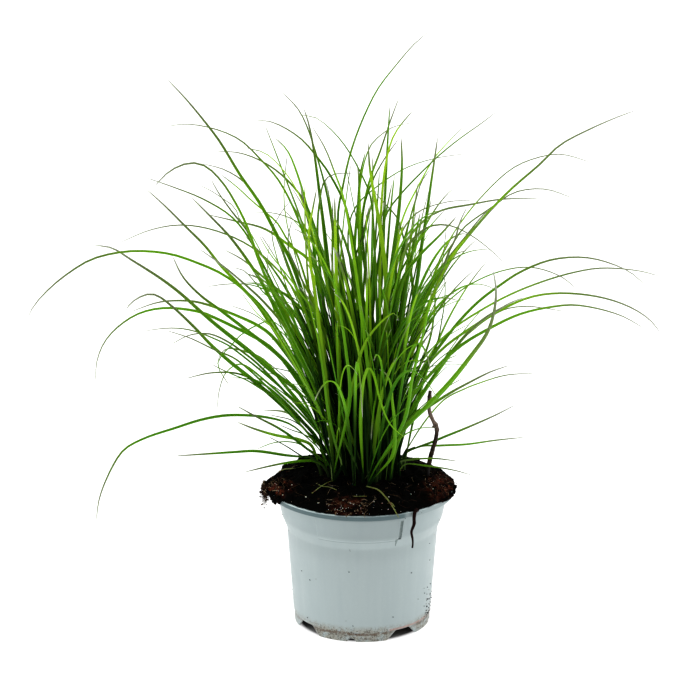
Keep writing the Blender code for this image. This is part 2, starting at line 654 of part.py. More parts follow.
def peat_plug():
    """Rings of points from the plug's bottom, up its side, out over the rim at the spills, and in again."""
    bearings = 90 + np.arange(PEAT_SIDES) * 360 / PEAT_SIDES
    ways = np.array([heading(b) for b in bearings])
    inside = [(BODY_LOW[0] - WALL, FLOOR_TOP + GAP), (SHOULDER_LOW[0] - WALL, SHOULDER_LOW[1]),
              (SHOULDER_HIGH[0] - WALL, SHOULDER_HIGH[1]), (BODY_HIGH[0] - WALL, BODY_HIGH[1])]
    rings = [ways * (r - GAP) + UP * z for r, z in inside]
    plain = BODY_HIGH[0] - WALL - GAP
    edge = plain + sum((RIM_RADIUS - plain + spill - SPILL_SETBACK) * bump(bearings, centre, width)
                       for centre, width, spill in SPILLS)
    above_rim = POT_HEIGHT + SPILL_CLEARANCE
    step = SPILL_EDGE_CLEARANCE - SPILL_CLEARANCE
    rings.append(ways * plain + UP * above_rim)
    rings.append(ways * np.maximum(edge, plain + step)[:, None] + UP * (above_rim + step))
    for share in PEAT_RING_SHARES:
        radius = np.maximum(edge * share, CROWN_RADIUS)
        height = np.maximum(peat_height(radius, bearings), above_rim + PEAT_SPILL_THICKNESS)
        rings.append(ways * radius[:, None] + UP * height[:, None])
    rings.append(ways * CROWN_RADIUS + UP * CROWN_HEIGHT)
    bottom = UP * (FLOOR_TOP + GAP)
    return new_object("plug", *capped_rings(rings, bottom, UP * CROWN_HEIGHT), "peat")


def peat_clot():
    """The lump that hangs from the left spill, clear of the rim."""
    form = bmesh.new()
    bmesh.ops.create_icosphere(form, subdivisions=2, radius=1)
    out, along = heading(CLOT_BEARING), heading(CLOT_BEARING + 90)
    centre = out * CLOT_PLACE[0] + UP * CLOT_PLACE[1]
    for vertex in form.verts:
        reach = np.array(vertex.co) * CLOT_HALF_SIZES
        vertex.co = centre + reach[0] * out + reach[1] * along + reach[2] * UP
    points = [tuple(vertex.co) for vertex in form.verts]
    faces = [[vertex.index for vertex in face.verts] for face in form.faces]
    form.free()
    made = new_object("clot", points, faces, "peat")
    outward(made)
    return made


def make_peat():
    return join_solids("peat", [peat_plug(), peat_clot()])


def capped_rings(rings, first, last):
    """Points and faces of a solid skinned over rings of equal count, with a single point at each end.
    The rings turn anticlockwise as seen from the last point."""
    count = len(rings[0])
    points = np.vstack([[first], *rings, [last]])
    faces = []
    for i in range(count):
        j = (i + 1) % count
        faces.append((0, 1 + j, 1 + i))
        for row in range(len(rings) - 1):
            a, b = 1 + row * count, 1 + (row + 1) * count
            faces.append((a + i, a + j, b + j, b + i))
        a = 1 + (len(rings) - 1) * count
        faces.append((a + i, a + j, len(points) - 1))
    return points, faces


# Routes

def seen(pixels, depths):
    """The points that the viewer sees at these pixels, at these places along Y."""
    pixels = np.asarray(pixels, float)
    right = (pixels[:, 0] - FRAME_MIDDLE) / FOCAL_PIXELS
    up = (FRAME_MIDDLE - pixels[:, 1]) / FOCAL_PIXELS
    forward, down = math.cos(EYE_TILT), math.sin(EYE_TILT)
    rays = np.column_stack((right, forward + up * down, up * forward - down))
    return EYE + rays * ((np.asarray(depths) - EYE[1]) / rays[:, 1])[:, None]


def pixel_of(points):
    """Where the viewer sees these points."""
    away = np.atleast_2d(points) - EYE
    forward, down = math.cos(EYE_TILT), math.sin(EYE_TILT)
    depth = away[:, 1] * forward - away[:, 2] * down
    height = away[:, 1] * down + away[:, 2] * forward
    return FRAME_MIDDLE + FOCAL_PIXELS * np.column_stack((away[:, 0], -height)) / depth[:, None]


def depth_where(pixel, side):
    """The place along Y at which the view through a pixel is at this X."""
    near, far = seen([pixel, pixel], [-0.5, 0.5])
    return -0.5 + (side - near[0]) / (far[0] - near[0])


def smooth(points, start=None, steps=10):
    """A centripetal Catmull-Rom curve through the points, with an optional direction at its start."""
    points = np.asarray(points, float)
    gaps = np.sqrt(np.linalg.norm(np.diff(points, axis=0), axis=1))
    slopes = np.diff(points, axis=0) / gaps[:, None]
    tangents = np.empty_like(points)
    weight = (gaps[:-1] / (gaps[:-1] + gaps[1:]))[:, None]
    tangents[1:-1] = slopes[:-1] * (1 - weight) + slopes[1:] * weight
    tangents[0] = slopes[0] if start is None else start * np.linalg.norm(slopes[0])
    tangents[-1] = slopes[-1]
    t = np.linspace(0, 1, steps, endpoint=False)[None, :, None]
    a, b = points[:-1, None], points[1:, None]
    ta, tb = (tangents[:-1] * gaps[:, None])[:, None], (tangents[1:] * gaps[:, None])[:, None]
    curve = ((1 + 2 * t) * (1 - t) ** 2 * a + t * (1 - t) ** 2 * ta
             + t * t * (3 - 2 * t) * b + t * t * (t - 1) * tb)
    return np.vstack((curve.reshape(-1, 3), points[-1:]))


def spaced(curve, count):
    """The curve resampled to this many points, even along its length and the ends kept."""
    along = np.concatenate(([0], np.cumsum(np.linalg.norm(np.diff(curve, axis=0), axis=1))))
    places = np.linspace(0, along[-1], count)
    return np.column_stack([np.interp(places, along, curve[:, k]) for k in range(3)])


def bend_of(curve):
    """How far the curve turns in all, in degrees."""
    ways = np.diff(spaced(curve, BEND_SAMPLES), axis=0)
    ways /= np.linalg.norm(ways, axis=1)[:, None]
    return np.degrees(np.arccos(np.clip((ways[:-1] * ways[1:]).sum(axis=1), -1, 1))).sum()


def segments_for(curve):
    """More segments on a blade that bends more."""
    wanted = FEWEST_SEGMENTS - 1 + bend_of(curve) / BEND_PER_SEGMENT
    return int(np.clip(round(wanted), FEWEST_SEGMENTS, MOST_SEGMENTS))


def traced_route(base, pixels, tip_depth):
    """A route from the base through the pixels. Its depth runs from the base's to the tip's."""
    path = np.vstack((pixel_of(base), pixels))
    share = np.concatenate(([0], np.cumsum(np.linalg.norm(np.diff(path, axis=0), axis=1))))
    share /= share[-1]
    depths = base[1] + (tip_depth - base[1]) * share**DEPTH_BEND
    points = np.vstack((base, seen(pixels, depths[1:])))
    chord = points[1] - points[0]
    start = chord / np.linalg.norm(chord) + START_LIFT * UP
    return smooth(points, start / np.linalg.norm(start))


def arch_route(base, bearing, length, lean, droop, sway):
    """A route that leaves at a lean from upright and bends over until it ends at a droop, both in degrees.
    Sway carries it sideways more and more along its length."""
    share = np.linspace(0, 1, ARCH_POINTS)
    angle = np.radians(lean + (droop - lean) * share**ARCH_BEND)
    step = length / (len(share) - 1)
    out = np.cumsum(np.sin(angle)) * step
    up = np.cumsum(np.cos(angle)) * step
    way = heading(bearing)
    side = np.cross(way, UP)
    points = base + out[:, None] * way + up[:, None] * UP + (sway * length * share**2)[:, None] * side
    return np.vstack((base, points[1:]))


def set_in_sheath(curve, order):
    """Starts a shoot's blades at places of their own inside its sheath, so that they overlap cleanly."""
    along = np.linspace(0, 1, len(curve))
    turn = order * GOLDEN_ANGLE
    aside = np.array((math.cos(turn), math.sin(turn), order / MOST_BLADES)) * BLADE_ASIDE
    return curve + aside * ((1 - along) ** ASIDE_FADE)[:, None]


# Blades and sheaths

def blade_width(share, width):
    """A blade's width along it: narrow at the sheath, widest a third of the way up, drawn out to a point."""
    rise = START_WIDTH_SHARE + (1 - START_WIDTH_SHARE) * np.sin(np.pi / 2 * np.minimum(share / WIDEST_AT, 1))
    fall = np.clip((1 - share) / (1 - WIDEST_AT), 0, 1) ** TIP_FALL
    return width * rise * fall + TIP_WIDTH


def blade_solid(curve, width, turn, spare=0.0):
    """Points and faces of a blade: three edges, the flat upper face between two and the keel below.
    Spare grows it all round, to test the room that it needs."""
    count = segments_for(curve)
    spine = spaced(curve, count + 1)
    ways = np.gradient(spine, axis=0)
    ways /= np.linalg.norm(ways, axis=1)[:, None]
    out = spine[-1] - spine[0]
    level = np.cross(out * (1, 1, 0), UP)
    level /= np.linalg.norm(level)
    across = level - (ways @ level)[:, None] * ways
    across /= np.linalg.norm(across, axis=1)[:, None]
    above = np.cross(across, ways)
    share = np.linspace(0, 1, count + 1)
    angle = np.radians(turn * np.minimum(share / TURNED_AT, 1))[:, None]
    side = np.cos(angle) * across + np.sin(angle) * above
    face = np.cos(angle) * above - np.sin(angle) * across
    half = blade_width(share, width)[:, None] / 2 + spare
    keel = half * 2 * KEEL_SHARE + spare
    rings = np.stack((spine + side * half + face * spare, spine - side * half + face * spare,
                      spine - face * keel), axis=1)[:-1]
    rings[0] += (ways[0] * BLADE_START)
    points = np.vstack((rings.reshape(-1, 3), spine[-1] + ways[-1] * spare))
    faces = [(0, 1, 2)]
    for row in range(count - 1):
        for i in range(3):
            j = (i + 1) % 3
            faces.append((3 * row + i, 3 * row + 3 + i, 3 * row + 3 + j, 3 * row + j))
    last, tip = 3 * (count - 1), 3 * count
    faces += [(last + i, tip, last + (i + 1) % 3) for i in range(3)]
    return points, faces


def sheath_solid(base, way):
    """The short stout foot of a shoot, level below and square to its lean above."""
    turns = np.arange(SHEATH_SIDES) * 2 * np.pi / SHEATH_SIDES
    ring = np.column_stack((np.cos(turns), np.sin(turns), 0 * turns))
    low = base + SHEATH_RADIUS * ring
    square = ring - (ring @ way)[:, None] * way
    high = base + SHEATH_LENGTH * way + SHEATH_TOP_SHARE * SHEATH_RADIUS * square
    count = SHEATH_SIDES
    sides = [(i, (i + 1) % count, count + (i + 1) % count, count + i) for i in range(count)]
    faces = [tuple(range(count))[::-1], *sides, tuple(range(count, 2 * count))]
    return np.vstack((low, high)), faces


def triangles(faces):
    return [(face[0], face[i], face[i + 1]) for face in faces for i in range(1, len(face) - 1)]


def tree_of(points, faces):
    """A search tree of a mesh's triangles, which finds where it meets another."""
    return BVHTree.FromPolygons([tuple(p) for p in points], triangles(faces))


class Clump:
    """The blades that are placed so far, the free places on the crown, and the test that keeps shoots
    apart."""

    def __init__(self, solids):
        self.cells = list(crown_cells())
        self.feet = {}
        self.blades = {}
        self.trees = []
        for solid in solids:
            faces = [tuple(p.vertices) for p in solid.data.polygons]
            self.trees.append((solid.name, tree_of([v.co for v in solid.data.vertices], faces)))

    def free(self, shoot, points, faces):
        tree = tree_of(points, faces)
        return not any(tree.overlap(other) for owner, other in self.trees if owner != shoot)

    def has_room(self, shoot, curve, width, turn):
        """Whether a blade on this route is clear of the other shoots and the single pieces."""
        return self.free(shoot, *blade_solid(curve, width, turn, BLADE_CLEARANCE))

    def near_cells(self, wanted):
        return sorted(self.cells, key=lambda cell: np.linalg.norm(cell[:2] - wanted))[:FEET_TRIED]

    def settle(self, shoot, foot, blades):
        """Fixes a shoot's foot and its first blades."""
        self.cells = [cell for cell in self.cells if cell is not foot]
        self.feet[shoot] = foot
        self.blades[shoot] = []
        self.trees.append((shoot, tree_of(*sheath_solid(foot, sheath_way(blades[0][0])))))
        for item in blades:
            self.add(shoot, item)

    def add(self, shoot, item):
        self.blades[shoot].append(item)
        self.trees.append((shoot, tree_of(*blade_solid(*item))))


def crown_cells():
    """Places for the shoots' feet, spread over the crown as seeds are in a sunflower."""
    order = np.arange(CELL_COUNT)
    radius = (CROWN_RADIUS - CROWN_INSET_RADII * SHEATH_RADIUS) * np.sqrt((order + 0.5) / CELL_COUNT)
    turns = order * GOLDEN_ANGLE
    level = np.full(CELL_COUNT, CROWN_HEIGHT + GAP)
    return np.column_stack((radius * np.cos(turns), radius * np.sin(turns), level))


def sheath_way(curve):
    """The direction that a shoot's sheath takes: its first blade's over the sheath's length."""
    along = np.linalg.norm(curve - curve[0], axis=1)
    way = curve[np.argmax(along > SHEATH_LENGTH)] - curve[0]
    return way / np.linalg.norm(way)


def tip_depth(traced):
    """The place of a blade's tip along Y."""
    if traced["depth"] is not None:
        return traced["depth"]
    pixel = traced["pixels"][-1]
    side = REACH_SIDE if pixel[0] > CROWN_PIXEL[0] else -REACH_SIDE
    return depth_where(pixel, side)


def lowness(name):
    """How low a traced shoot leaves the clump, from 0 for upright to 1 for level."""
    away = TRACED[name][0]["pixels"][0] - CROWN_PIXEL
    return abs(away[0]) / np.linalg.norm(away)


def wanted_foot(name):
    """Where on the crown a traced shoot would stand: towards its tip, and the further the lower it leaves."""
    lead = TRACED[name][0]
    tip = seen(lead["pixels"][-1:], [tip_depth(lead)])[0][:2]
    return tip / np.linalg.norm(tip) * CROWN_RADIUS * lowness(name)


def fit_traced(clump, name, foot, order, traced):
    """The blade on its route, moved in depth along the line of sight as far as it takes to find room."""
    for attempt in range(1 if traced["depth"] is None else DEPTH_TRIES):
        shift = (attempt + 1) // 2 * (DEPTH_STEP if attempt % 2 else -DEPTH_STEP)
        curve = set_in_sheath(traced_route(foot, traced["pixels"], tip_depth(traced) + shift), order)
        item = (curve, traced["width"], traced["turn"])
        if clump.has_room(name, *item):
            return [item]
    return []


def place_traced(clump):
    """Places the traced shoots, low ones first, each on the nearest place where all its blades have room."""
    for name in sorted(TRACED, key=lowness, reverse=True):
        best = (None, [])
        for foot in clump.near_cells(wanted_foot(name)):
            if not clump.free(name, *sheath_solid(foot, UP)):
                continue
            blades = []
            for order, traced in enumerate(TRACED[name]):
                blades += fit_traced(clump, name, foot, order, traced)
            if len(blades) > len(best[1]):
                best = (foot, blades)
            if len(blades) == len(TRACED[name]):
                break
        if best[1]:
            clump.settle(name, *best)
        if len(best[1]) < len(TRACED[name]):
            print("no room for all of", name, "only", len(best[1]))


def in_outline(curve):
    """Whether the viewer would see this route inside the dense part of the clump."""
    away = pixel_of(curve) - CROWN_PIXEL
    distance = np.linalg.norm(away, axis=1)
    steepness = np.clip(-away[:, 1] / np.maximum(distance, 1), 0, 1)
    return bool((distance < DENSE_TOP * np.maximum(steepness**DENSE_FALL, DENSE_LEAST)).all())


def fit_arch(clump, name, order, bearing, random, ranges, foot, reach=None):
    """An arch about this bearing with random measures in the given ranges. Where a reach is given, its tip
    is exactly that far from the pot's axis along Y."""
    for _ in range(ARCH_TRIES):
        towards = bearing + random.normal(0, BEARING_SPREAD)
        measures = [random.uniform(*limits) for limits in ranges]
        curve = arch_route(foot, towards, *measures, random.uniform(-MOST_SWAY, MOST_SWAY))
        if reach is not None:
            curve[:, 1] = foot[1] + (curve[:, 1] - foot[1]) * (reach - foot[1]) / (curve[-1, 1] - foot[1])
        turn = random.uniform(-MOST_TURN, MOST_TURN)
        item = (set_in_sheath(curve, order), random.uniform(*ARCH_WIDTHS), turn)
        inside = np.abs(curve[:, 1]).max() <= REACH_FRONT and in_outline(curve)
        if inside and clump.has_room(name, *item):
            return [item]
    return []


def place_hidden(clump, random):
    """Places the arches that fill the front and the back. One on each side has the clump's full reach."""
    for name, bearings in HIDDEN.items():
        wanted = heading(np.mean(bearings))[:2] * CROWN_RADIUS * HIDDEN_FOOT_SHARE
        for foot in clump.near_cells(wanted):
            if not clump.free(name, *sheath_solid(foot, UP)):
                continue
            blades = []
            for order, bearing in enumerate(bearings):
                reach = FULL_REACH.get(name) if order == 0 else None
                blades += fit_arch(clump, name, order, bearing, random, HIDDEN_ARCH, foot, reach)
            if len(blades) == len(bearings):
                clump.settle(name, foot, blades)
                break
        else:
            print("no room for", name)


def place_companions(clump, random):
    """Gives each shoot more blades of its own, leaning as it leans, where there is room for them."""
    for wanted in range(2, MOST_BLADES + 1):
        for name, foot in clump.feet.items():
            if len(clump.blades[name]) < wanted:
                tip = clump.blades[name][0][0][-1]
                bearing = math.degrees(math.atan2(tip[0] - foot[0], foot[1] - tip[1]))
                bearing += random.normal(0, COMPANION_SPREAD)
                for item in fit_arch(clump, name, wanted - 1, bearing, random, COMPANION_ARCH, foot):
                    clump.add(name, item)


def make_shoot(name, foot, blades):
    """Fuses a sheath and its blades into one solid."""
    parts = [new_object("sheath", *sheath_solid(foot, sheath_way(blades[0][0])), "grass")]
    parts += [new_object("blade", *blade_solid(*item), "grass") for item in blades]
    for part in parts:
        outward(part)
    return join_solids(name, parts, solver="MANIFOLD")


# The single pieces

def rod_solid(curve, radii, sides, count, level_foot=False):
    """A tapering round rod along a curve, ending in a point."""
    spine = spaced(curve, count + 1)
    ways = np.gradient(spine, axis=0)
    ways /= np.linalg.norm(ways, axis=1)[:, None]
    across = np.cross(ways, heading(0))
    across /= np.linalg.norm(across, axis=1)[:, None]
    other = np.cross(ways, across)
    radius = np.linspace(*radii, count + 1)
    turns = np.arange(sides) * 2 * np.pi / sides
    rings = [c + r * (np.cos(turns)[:, None] * a + np.sin(turns)[:, None] * b)
             for c, r, a, b in zip(spine, radius, across, other)]
    if level_foot:
        rings[0][:, 2] = spine[0][2]
    return capped_rings(rings[:-1], rings[0].mean(axis=0), spine[-1])


def make_twig():
    stem = smooth(seen(TWIG_PIXELS, np.full(len(TWIG_PIXELS), TWIG_DEPTH)))
    spur = smooth(seen(TWIG_SPUR_PIXELS, np.full(len(TWIG_SPUR_PIXELS), TWIG_DEPTH)))
    parts = [new_object("stem", *rod_solid(stem, TWIG_RADII, ROD_SIDES, ROD_RINGS, True), "bark"),
             new_object("spur", *rod_solid(spur, TWIG_SPUR_RADII, SPUR_SIDES, SPUR_RINGS), "bark")]
    for part in parts:
        outward(part)
    return join_solids("twig", parts)


def make_root():
    route = smooth(np.array(ROOT_ROUTE) * MM)
    made = new_object("root_fibre", *rod_solid(route, ROOT_RADII, ROD_SIDES, ROD_RINGS), "root")
    outward(made)
    return made


def make_laid_blade():
    """A thin dying blade that lies over the peat from the crown to the rim."""
    curve = smooth(seen(LAID_PIXELS, np.array(LAID_DEPTHS) * MM))
    made = new_object("laid_blade", *blade_solid(curve, LAID_WIDTH, LAID_TURN), "straw")
    outward(made)
    return made


def main():
    clear_scene()
    solids = [make_pot(), make_peat(), make_twig(), make_root(), make_laid_blade()]
    random = np.random.default_rng(SEED)
    clump = Clump(solids)
    place_traced(clump)
    place_hidden(clump, random)
    place_companions(clump, random)
    for name, blades in clump.blades.items():
        make_shoot(name, clump.feet[name], blades)
    print(sum(len(blades) for blades in clump.blades.values()), "blades in", len(clump.blades), "shoots")


main()
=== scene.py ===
# %% [markdown]
# # A potted clump of ornamental grass
# This file dresses the solids of a grass plant in a nursery pot. The solids are the frame: each piece made
# here stands where its solid stands, and takes its place. A reader can run the cells from top to bottom.
# Lengths are metres, +Z is up, the ground is at 0 and the viewer stands at -Y.

# %% Load the solids
import math

import bpy
import numpy as np
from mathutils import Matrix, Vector
from mathutils.bvhtree import BVHTree


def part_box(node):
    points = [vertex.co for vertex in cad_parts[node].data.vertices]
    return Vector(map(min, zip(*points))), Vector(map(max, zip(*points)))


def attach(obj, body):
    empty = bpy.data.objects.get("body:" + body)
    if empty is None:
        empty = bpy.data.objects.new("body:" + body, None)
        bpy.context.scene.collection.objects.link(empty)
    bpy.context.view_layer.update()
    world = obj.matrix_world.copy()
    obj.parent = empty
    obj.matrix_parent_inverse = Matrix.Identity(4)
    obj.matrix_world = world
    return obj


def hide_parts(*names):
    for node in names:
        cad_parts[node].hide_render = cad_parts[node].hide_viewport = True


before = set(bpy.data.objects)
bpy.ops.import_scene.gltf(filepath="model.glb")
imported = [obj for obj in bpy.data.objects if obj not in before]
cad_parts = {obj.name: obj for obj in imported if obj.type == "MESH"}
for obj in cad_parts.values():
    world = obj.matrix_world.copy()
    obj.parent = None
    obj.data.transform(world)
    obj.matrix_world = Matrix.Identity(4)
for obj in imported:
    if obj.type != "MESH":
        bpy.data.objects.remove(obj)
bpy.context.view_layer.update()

# %% [markdown]
# ## The camera
# The photo was taken from a little above with a long lens. The pot's rim, shoulder and foot show as
# ellipses, and how open they are gives the camera's height and tilt. The focal length is kept in pixels of
# the square picture, because then the same numbers turn a pixel into a line of sight and back.

# %% Place the camera
MM = 0.001
UP = np.array((0.0, 0.0, 1.0))
EYE = np.array((-0.0113, -2.5, 1.019))
EYE_TILT = math.radians(16.9)
FOCAL_PIXELS = 2882.0
FRAME_MIDDLE = 350.0
SENSOR_WIDTH = 36.0

lens = bpy.data.cameras.new("camera")
lens.sensor_width = SENSOR_WIDTH
lens.lens = FOCAL_PIXELS / (2 * FRAME_MIDDLE) * SENSOR_WIDTH
camera = bpy.data.objects.new("camera", lens)
camera.location = EYE
camera.rotation_euler = (math.pi / 2 - EYE_TILT, 0, 0)
bpy.context.scene.collection.objects.link(camera)
bpy.context.scene.camera = camera
print("lens", round(lens.lens, 1), "mm")

# %% [markdown]
# ## Light and floor
# The plant was photographed on white under soft light, so it casts hardly any shadow. A weak white world
# fills the shadows a little, and three very wide suns do the rest: one overhead, which leaves the heart of
# the clump dark, and one at each side, which light the pot's sides more than its front. Suns light a large
# floor evenly, so that it is white up to the picture's edge. The floor also glows a little by itself, but
# not under the pot, where the notches in the foot show the dark.

# %% Light the set
WORLD_STRENGTH = 0.26
FLOOR_HALF = 15.0
FLOOR_DROP = 0.2 * MM
SUNS = {
    "overhead": ((-0.1, -0.12, 1.0), 35, 1.95),
    "left": ((-1.0, 0.25, 0.5), 35, 0.82),
    "right": ((1.0, 0.25, 0.5), 35, 1.04),
}


def soft_sun(name, towards, spread, strength):
    """A sun that shines from this direction, out of a disc of the sky as wide as the spread in degrees."""
    lamp = bpy.data.lights.new(name, "SUN")
    lamp.angle = math.radians(spread)
    lamp.energy = strength
    made = bpy.data.objects.new(name, lamp)
    made.rotation_euler = Vector(towards).to_track_quat("Z", "Y").to_euler()
    bpy.context.scene.collection.objects.link(made)


world = bpy.data.worlds.new("white_tent")
world.use_nodes = True
world.node_tree.nodes["Background"].inputs["Color"].default_value = (1, 1, 1, 1)
world.node_tree.nodes["Background"].inputs["Strength"].default_value = WORLD_STRENGTH
bpy.context.scene.world = world
bpy.context.scene.view_settings.view_transform = "Standard"
bpy.context.scene.view_settings.look = "Medium High Contrast"
for name, values in SUNS.items():
    soft_sun(name, *values)
print(len(SUNS), "suns")

# %% [markdown]
# ## How a mesh and a finish are made here
# A shape is an array of points that a formula gives, and its faces follow from the array's rows and columns.
# Numbers that a finish needs, such as how dry a blade is, are kept at each point. A finish is a small tree
# of nodes that ends in one Principled shader.


# %% Make a mesh from arrays
def put_mesh(name, points, face_sets, finish, sharp=180, values=None):
    """An object from an array of points and arrays of faces, one face to a row. It is shaded smooth, but
    for edges that turn by more than the sharp angle. Values are numbers kept at each point."""
    mesh = bpy.data.meshes.new(name)
    points = np.asarray(points, np.float32).reshape(-1, 3)
    face_sets = facing_out(points, face_sets)
    sizes = np.concatenate([np.full(len(faces), faces.shape[1]) for faces in face_sets])
    mesh.vertices.add(len(points))
    mesh.vertices.foreach_set("co", points.ravel())
    mesh.loops.add(int(sizes.sum()))
    corners = np.concatenate([faces.ravel() for faces in face_sets])
    mesh.loops.foreach_set("vertex_index", corners.astype(np.int32))
    mesh.polygons.add(len(sizes))
    mesh.polygons.foreach_set("loop_start", (np.cumsum(sizes) - sizes).astype(np.int32))
    mesh.update(calc_edges=True)
    mesh.validate()
    for key, numbers in (values or {}).items():
        layer = mesh.attributes.new(key, "FLOAT", "POINT")
        layer.data.foreach_set("value", np.asarray(numbers, np.float32).ravel())
    mesh.materials.append(finish)
    mesh.shade_smooth()
    if sharp < 180:
        mesh.set_sharp_from_angle(angle=math.radians(sharp))
    made = bpy.data.objects.new(name, mesh)
    bpy.context.scene.collection.objects.link(made)
    return made


def facing_out(points, face_sets):
    """The faces as they are, or all turned round if they enclose a negative volume. The volume is the sum of
    the tetrahedra that each face, cut into triangles, makes with the origin."""
    total = 0.0
    for faces in face_sets:
        for i in range(1, faces.shape[1] - 1):
            a, b, c = (points[faces[:, k]].astype(float) for k in (0, i, i + 1))
            total += (a * np.cross(b, c)).sum() / 6
    return face_sets if total > 0 else [faces[:, ::-1] for faces in face_sets]


# %% Faces from rows and columns
def ring_faces(rows, columns):
    """The four-sided faces of a tube of rings: each joins a point, the next one round, and the same two in
    the next ring."""
    row, column = np.meshgrid(np.arange(rows - 1), np.arange(columns), indexing="ij")
    a = row * columns + column
    b = row * columns + (column + 1) % columns
    return np.stack((a, b, b + columns, a + columns), axis=-1).reshape(-1, 4)


def many(faces, copies, stride):
    """The same faces for each of several equal meshes whose points follow one another."""
    starts = np.arange(copies)[:, None, None] * stride
    return (faces[None] + starts).reshape(-1, faces.shape[1])


def closed_rings(rings, first, last):
    """Points and faces of rings closed at both ends by a fan to a single point."""
    rows, columns = rings.shape[:2]
    points = np.vstack((rings.reshape(-1, 3), [first], [last]))
    here = np.arange(columns)
    after = (here + 1) % columns
    low = np.column_stack((after, here, np.full(columns, rows * columns)))
    high = np.column_stack((here, after, np.full(columns, rows * columns + 1)))
    high[:, :2] += (rows - 1) * columns
    return points, [ring_faces(rows, columns), np.vstack((low, high))]


def unit(vectors):
    """The vectors at length one."""
    return vectors / np.linalg.norm(vectors, axis=-1, keepdims=True)


def smoothstep(low, high, value):
    """0 below low, 1 above high, and between them 3t squared less 2t cubed."""
    t = np.clip((value - low) / (high - low), 0, 1)
    return t * t * (3 - 2 * t)


# %% Noise for shapes
LATTICE = np.random.default_rng(11).random((32, 32, 32))


def cloud(points, size):
    """Value noise from -1 to 1: random numbers on a lattice of this spacing, eased between the eight
    nearest ones by 3t squared less 2t cubed along each axis."""
    cell = np.asarray(points, float) / size
    low = np.floor(cell).astype(int)
    t = cell - low
    t = t * t * (3 - 2 * t)
    total = np.zeros(cell.shape[:-1])
    for corner in range(8):
        step = np.array([(corner >> k) & 1 for k in range(3)])
        i = (low + step) % len(LATTICE)
        total += np.prod(np.where(step, t, 1 - t), axis=-1) * LATTICE[i[..., 0], i[..., 1], i[..., 2]]
    return 2 * total - 1


def clouds(points, size, octaves=4):
    """A sum of noises, each at half the spacing and half the strength of the one before."""
    return sum(cloud(np.asarray(points) + 0.37 * k, size / 2**k) / 2**k for k in range(octaves))


# %% Node helpers
def node(kind, inputs=None, **settings):
    """Adds a node to the newest finish. A socket given for an input is linked to it, and a value is set."""
    made = tree.nodes.new("ShaderNode" + kind)
    for key, value in settings.items():
        setattr(made, key, value)
    for key, value in (inputs or {}).items():
        if isinstance(value, bpy.types.NodeSocket):
            tree.links.new(value, made.inputs[key])
        else:
            made.inputs[key].default_value = value
    return made


def mix(share, first, second):
    """A colour between two, each of them a socket or three numbers."""
    first, second = (c if isinstance(c, bpy.types.NodeSocket) else (*c, 1) for c in (first, second))
    return node("Mix", {0: share, 6: first, 7: second}, data_type="RGBA").outputs[2]


def between(value, low, high, at_low=0.0, at_high=1.0):
    """A number that goes from at_low to at_high while the value goes from low to high, eased at both ends
    as smoothstep is."""
    inputs = {"Value": value, "From Min": low, "From Max": high, "To Min": at_low, "To Max": at_high}
    return node("MapRange", inputs, interpolation_type="SMOOTHSTEP").outputs["Result"]


def maths(operation, *numbers):
    """A number worked out from one or two others."""
    return node("Math", dict(enumerate(numbers)), operation=operation).outputs[0]


def times(first, second):
    """The product of two numbers."""
    return maths("MULTIPLY", first, second)


def over(tone, colour, share, *more):
    """The tone with a colour laid over it, as strongly as the product of these shares."""
    for number in more:
        share = times(share, number)
    return mix(share, tone, colour)


# %% Nodes that read places and values
def axis(name):
    """The object's own X, Y or Z."""
    return node("SeparateXYZ", {"Vector": place}).outputs[name]


def vector(x, y, z=0.0):
    """Three numbers as one vector."""
    return node("CombineXYZ", {"X": x, "Y": y, "Z": z}).outputs["Vector"]


def noise(scale, detail=3.0, roughness=0.55, where=None):
    """Noise from 0 to 1 in the object's own space, with this many cells to a metre, or along a vector."""
    inputs = {"Vector": place if where is None else where, "Scale": scale, "Detail": detail,
              "Roughness": roughness}
    return node("TexNoise", inputs).outputs["Fac"]


def ramp(value, *stops):
    """A colour read off a row of stops, each a place from 0 to 1 and a colour."""
    made = node("ValToRGB", {"Fac": value})
    elements = made.color_ramp.elements
    while len(elements) < len(stops):
        elements.new(0.5)
    for element, (position, colour) in zip(elements, stops):
        element.position = position
        element.color = (*colour, 1)
    return made.outputs["Color"]


def kept(name):
    """The number kept at each point under this name."""
    return node("Attribute", attribute_name=name).outputs["Fac"]


# %% Begin and end a finish
def new_finish(name, **settings):
    """Begins a finish, which the helpers above then add to: a material with one Principled shader, and the
    settings on the shader's own sockets."""
    global tree, place
    made = bpy.data.materials.new(name)
    made.use_nodes = True
    tree = made.node_tree
    for key, value in settings.items():
        tree.nodes["Principled BSDF"].inputs[key.replace("_", " ")].default_value = value
    place = node("TexCoord").outputs["Object"]
    return made


def dress(colour, roughness=None, height=None, depth=0.0, glow=None):
    """Ends a finish: links the colour to its shader, and the roughness, the glow and a bump of this depth in
    metres where there are any."""
    shader = tree.nodes["Principled BSDF"]
    for socket, value in {"Base Color": colour, "Roughness": roughness, "Emission Strength": glow}.items():
        if value is not None:
            tree.links.new(value, shader.inputs[socket])
    if height is not None:
        bumps = node("Bump", {"Height": height, "Distance": depth, "Strength": 1.0})
        tree.links.new(bumps.outputs["Normal"], shader.inputs["Normal"])
    print(len(tree.nodes), "nodes in the finish")


def hand_over(piece, slot, *nodes):
    """Puts a piece on the root body and hides the solids that it stands for. The slot, for the piece's
    finish, is not used.
    """
    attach(piece, "root")
    if nodes:
        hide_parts(*nodes)
    print(piece.name, sum(len(face.vertices) - 2 for face in piece.data.polygons), "triangles")


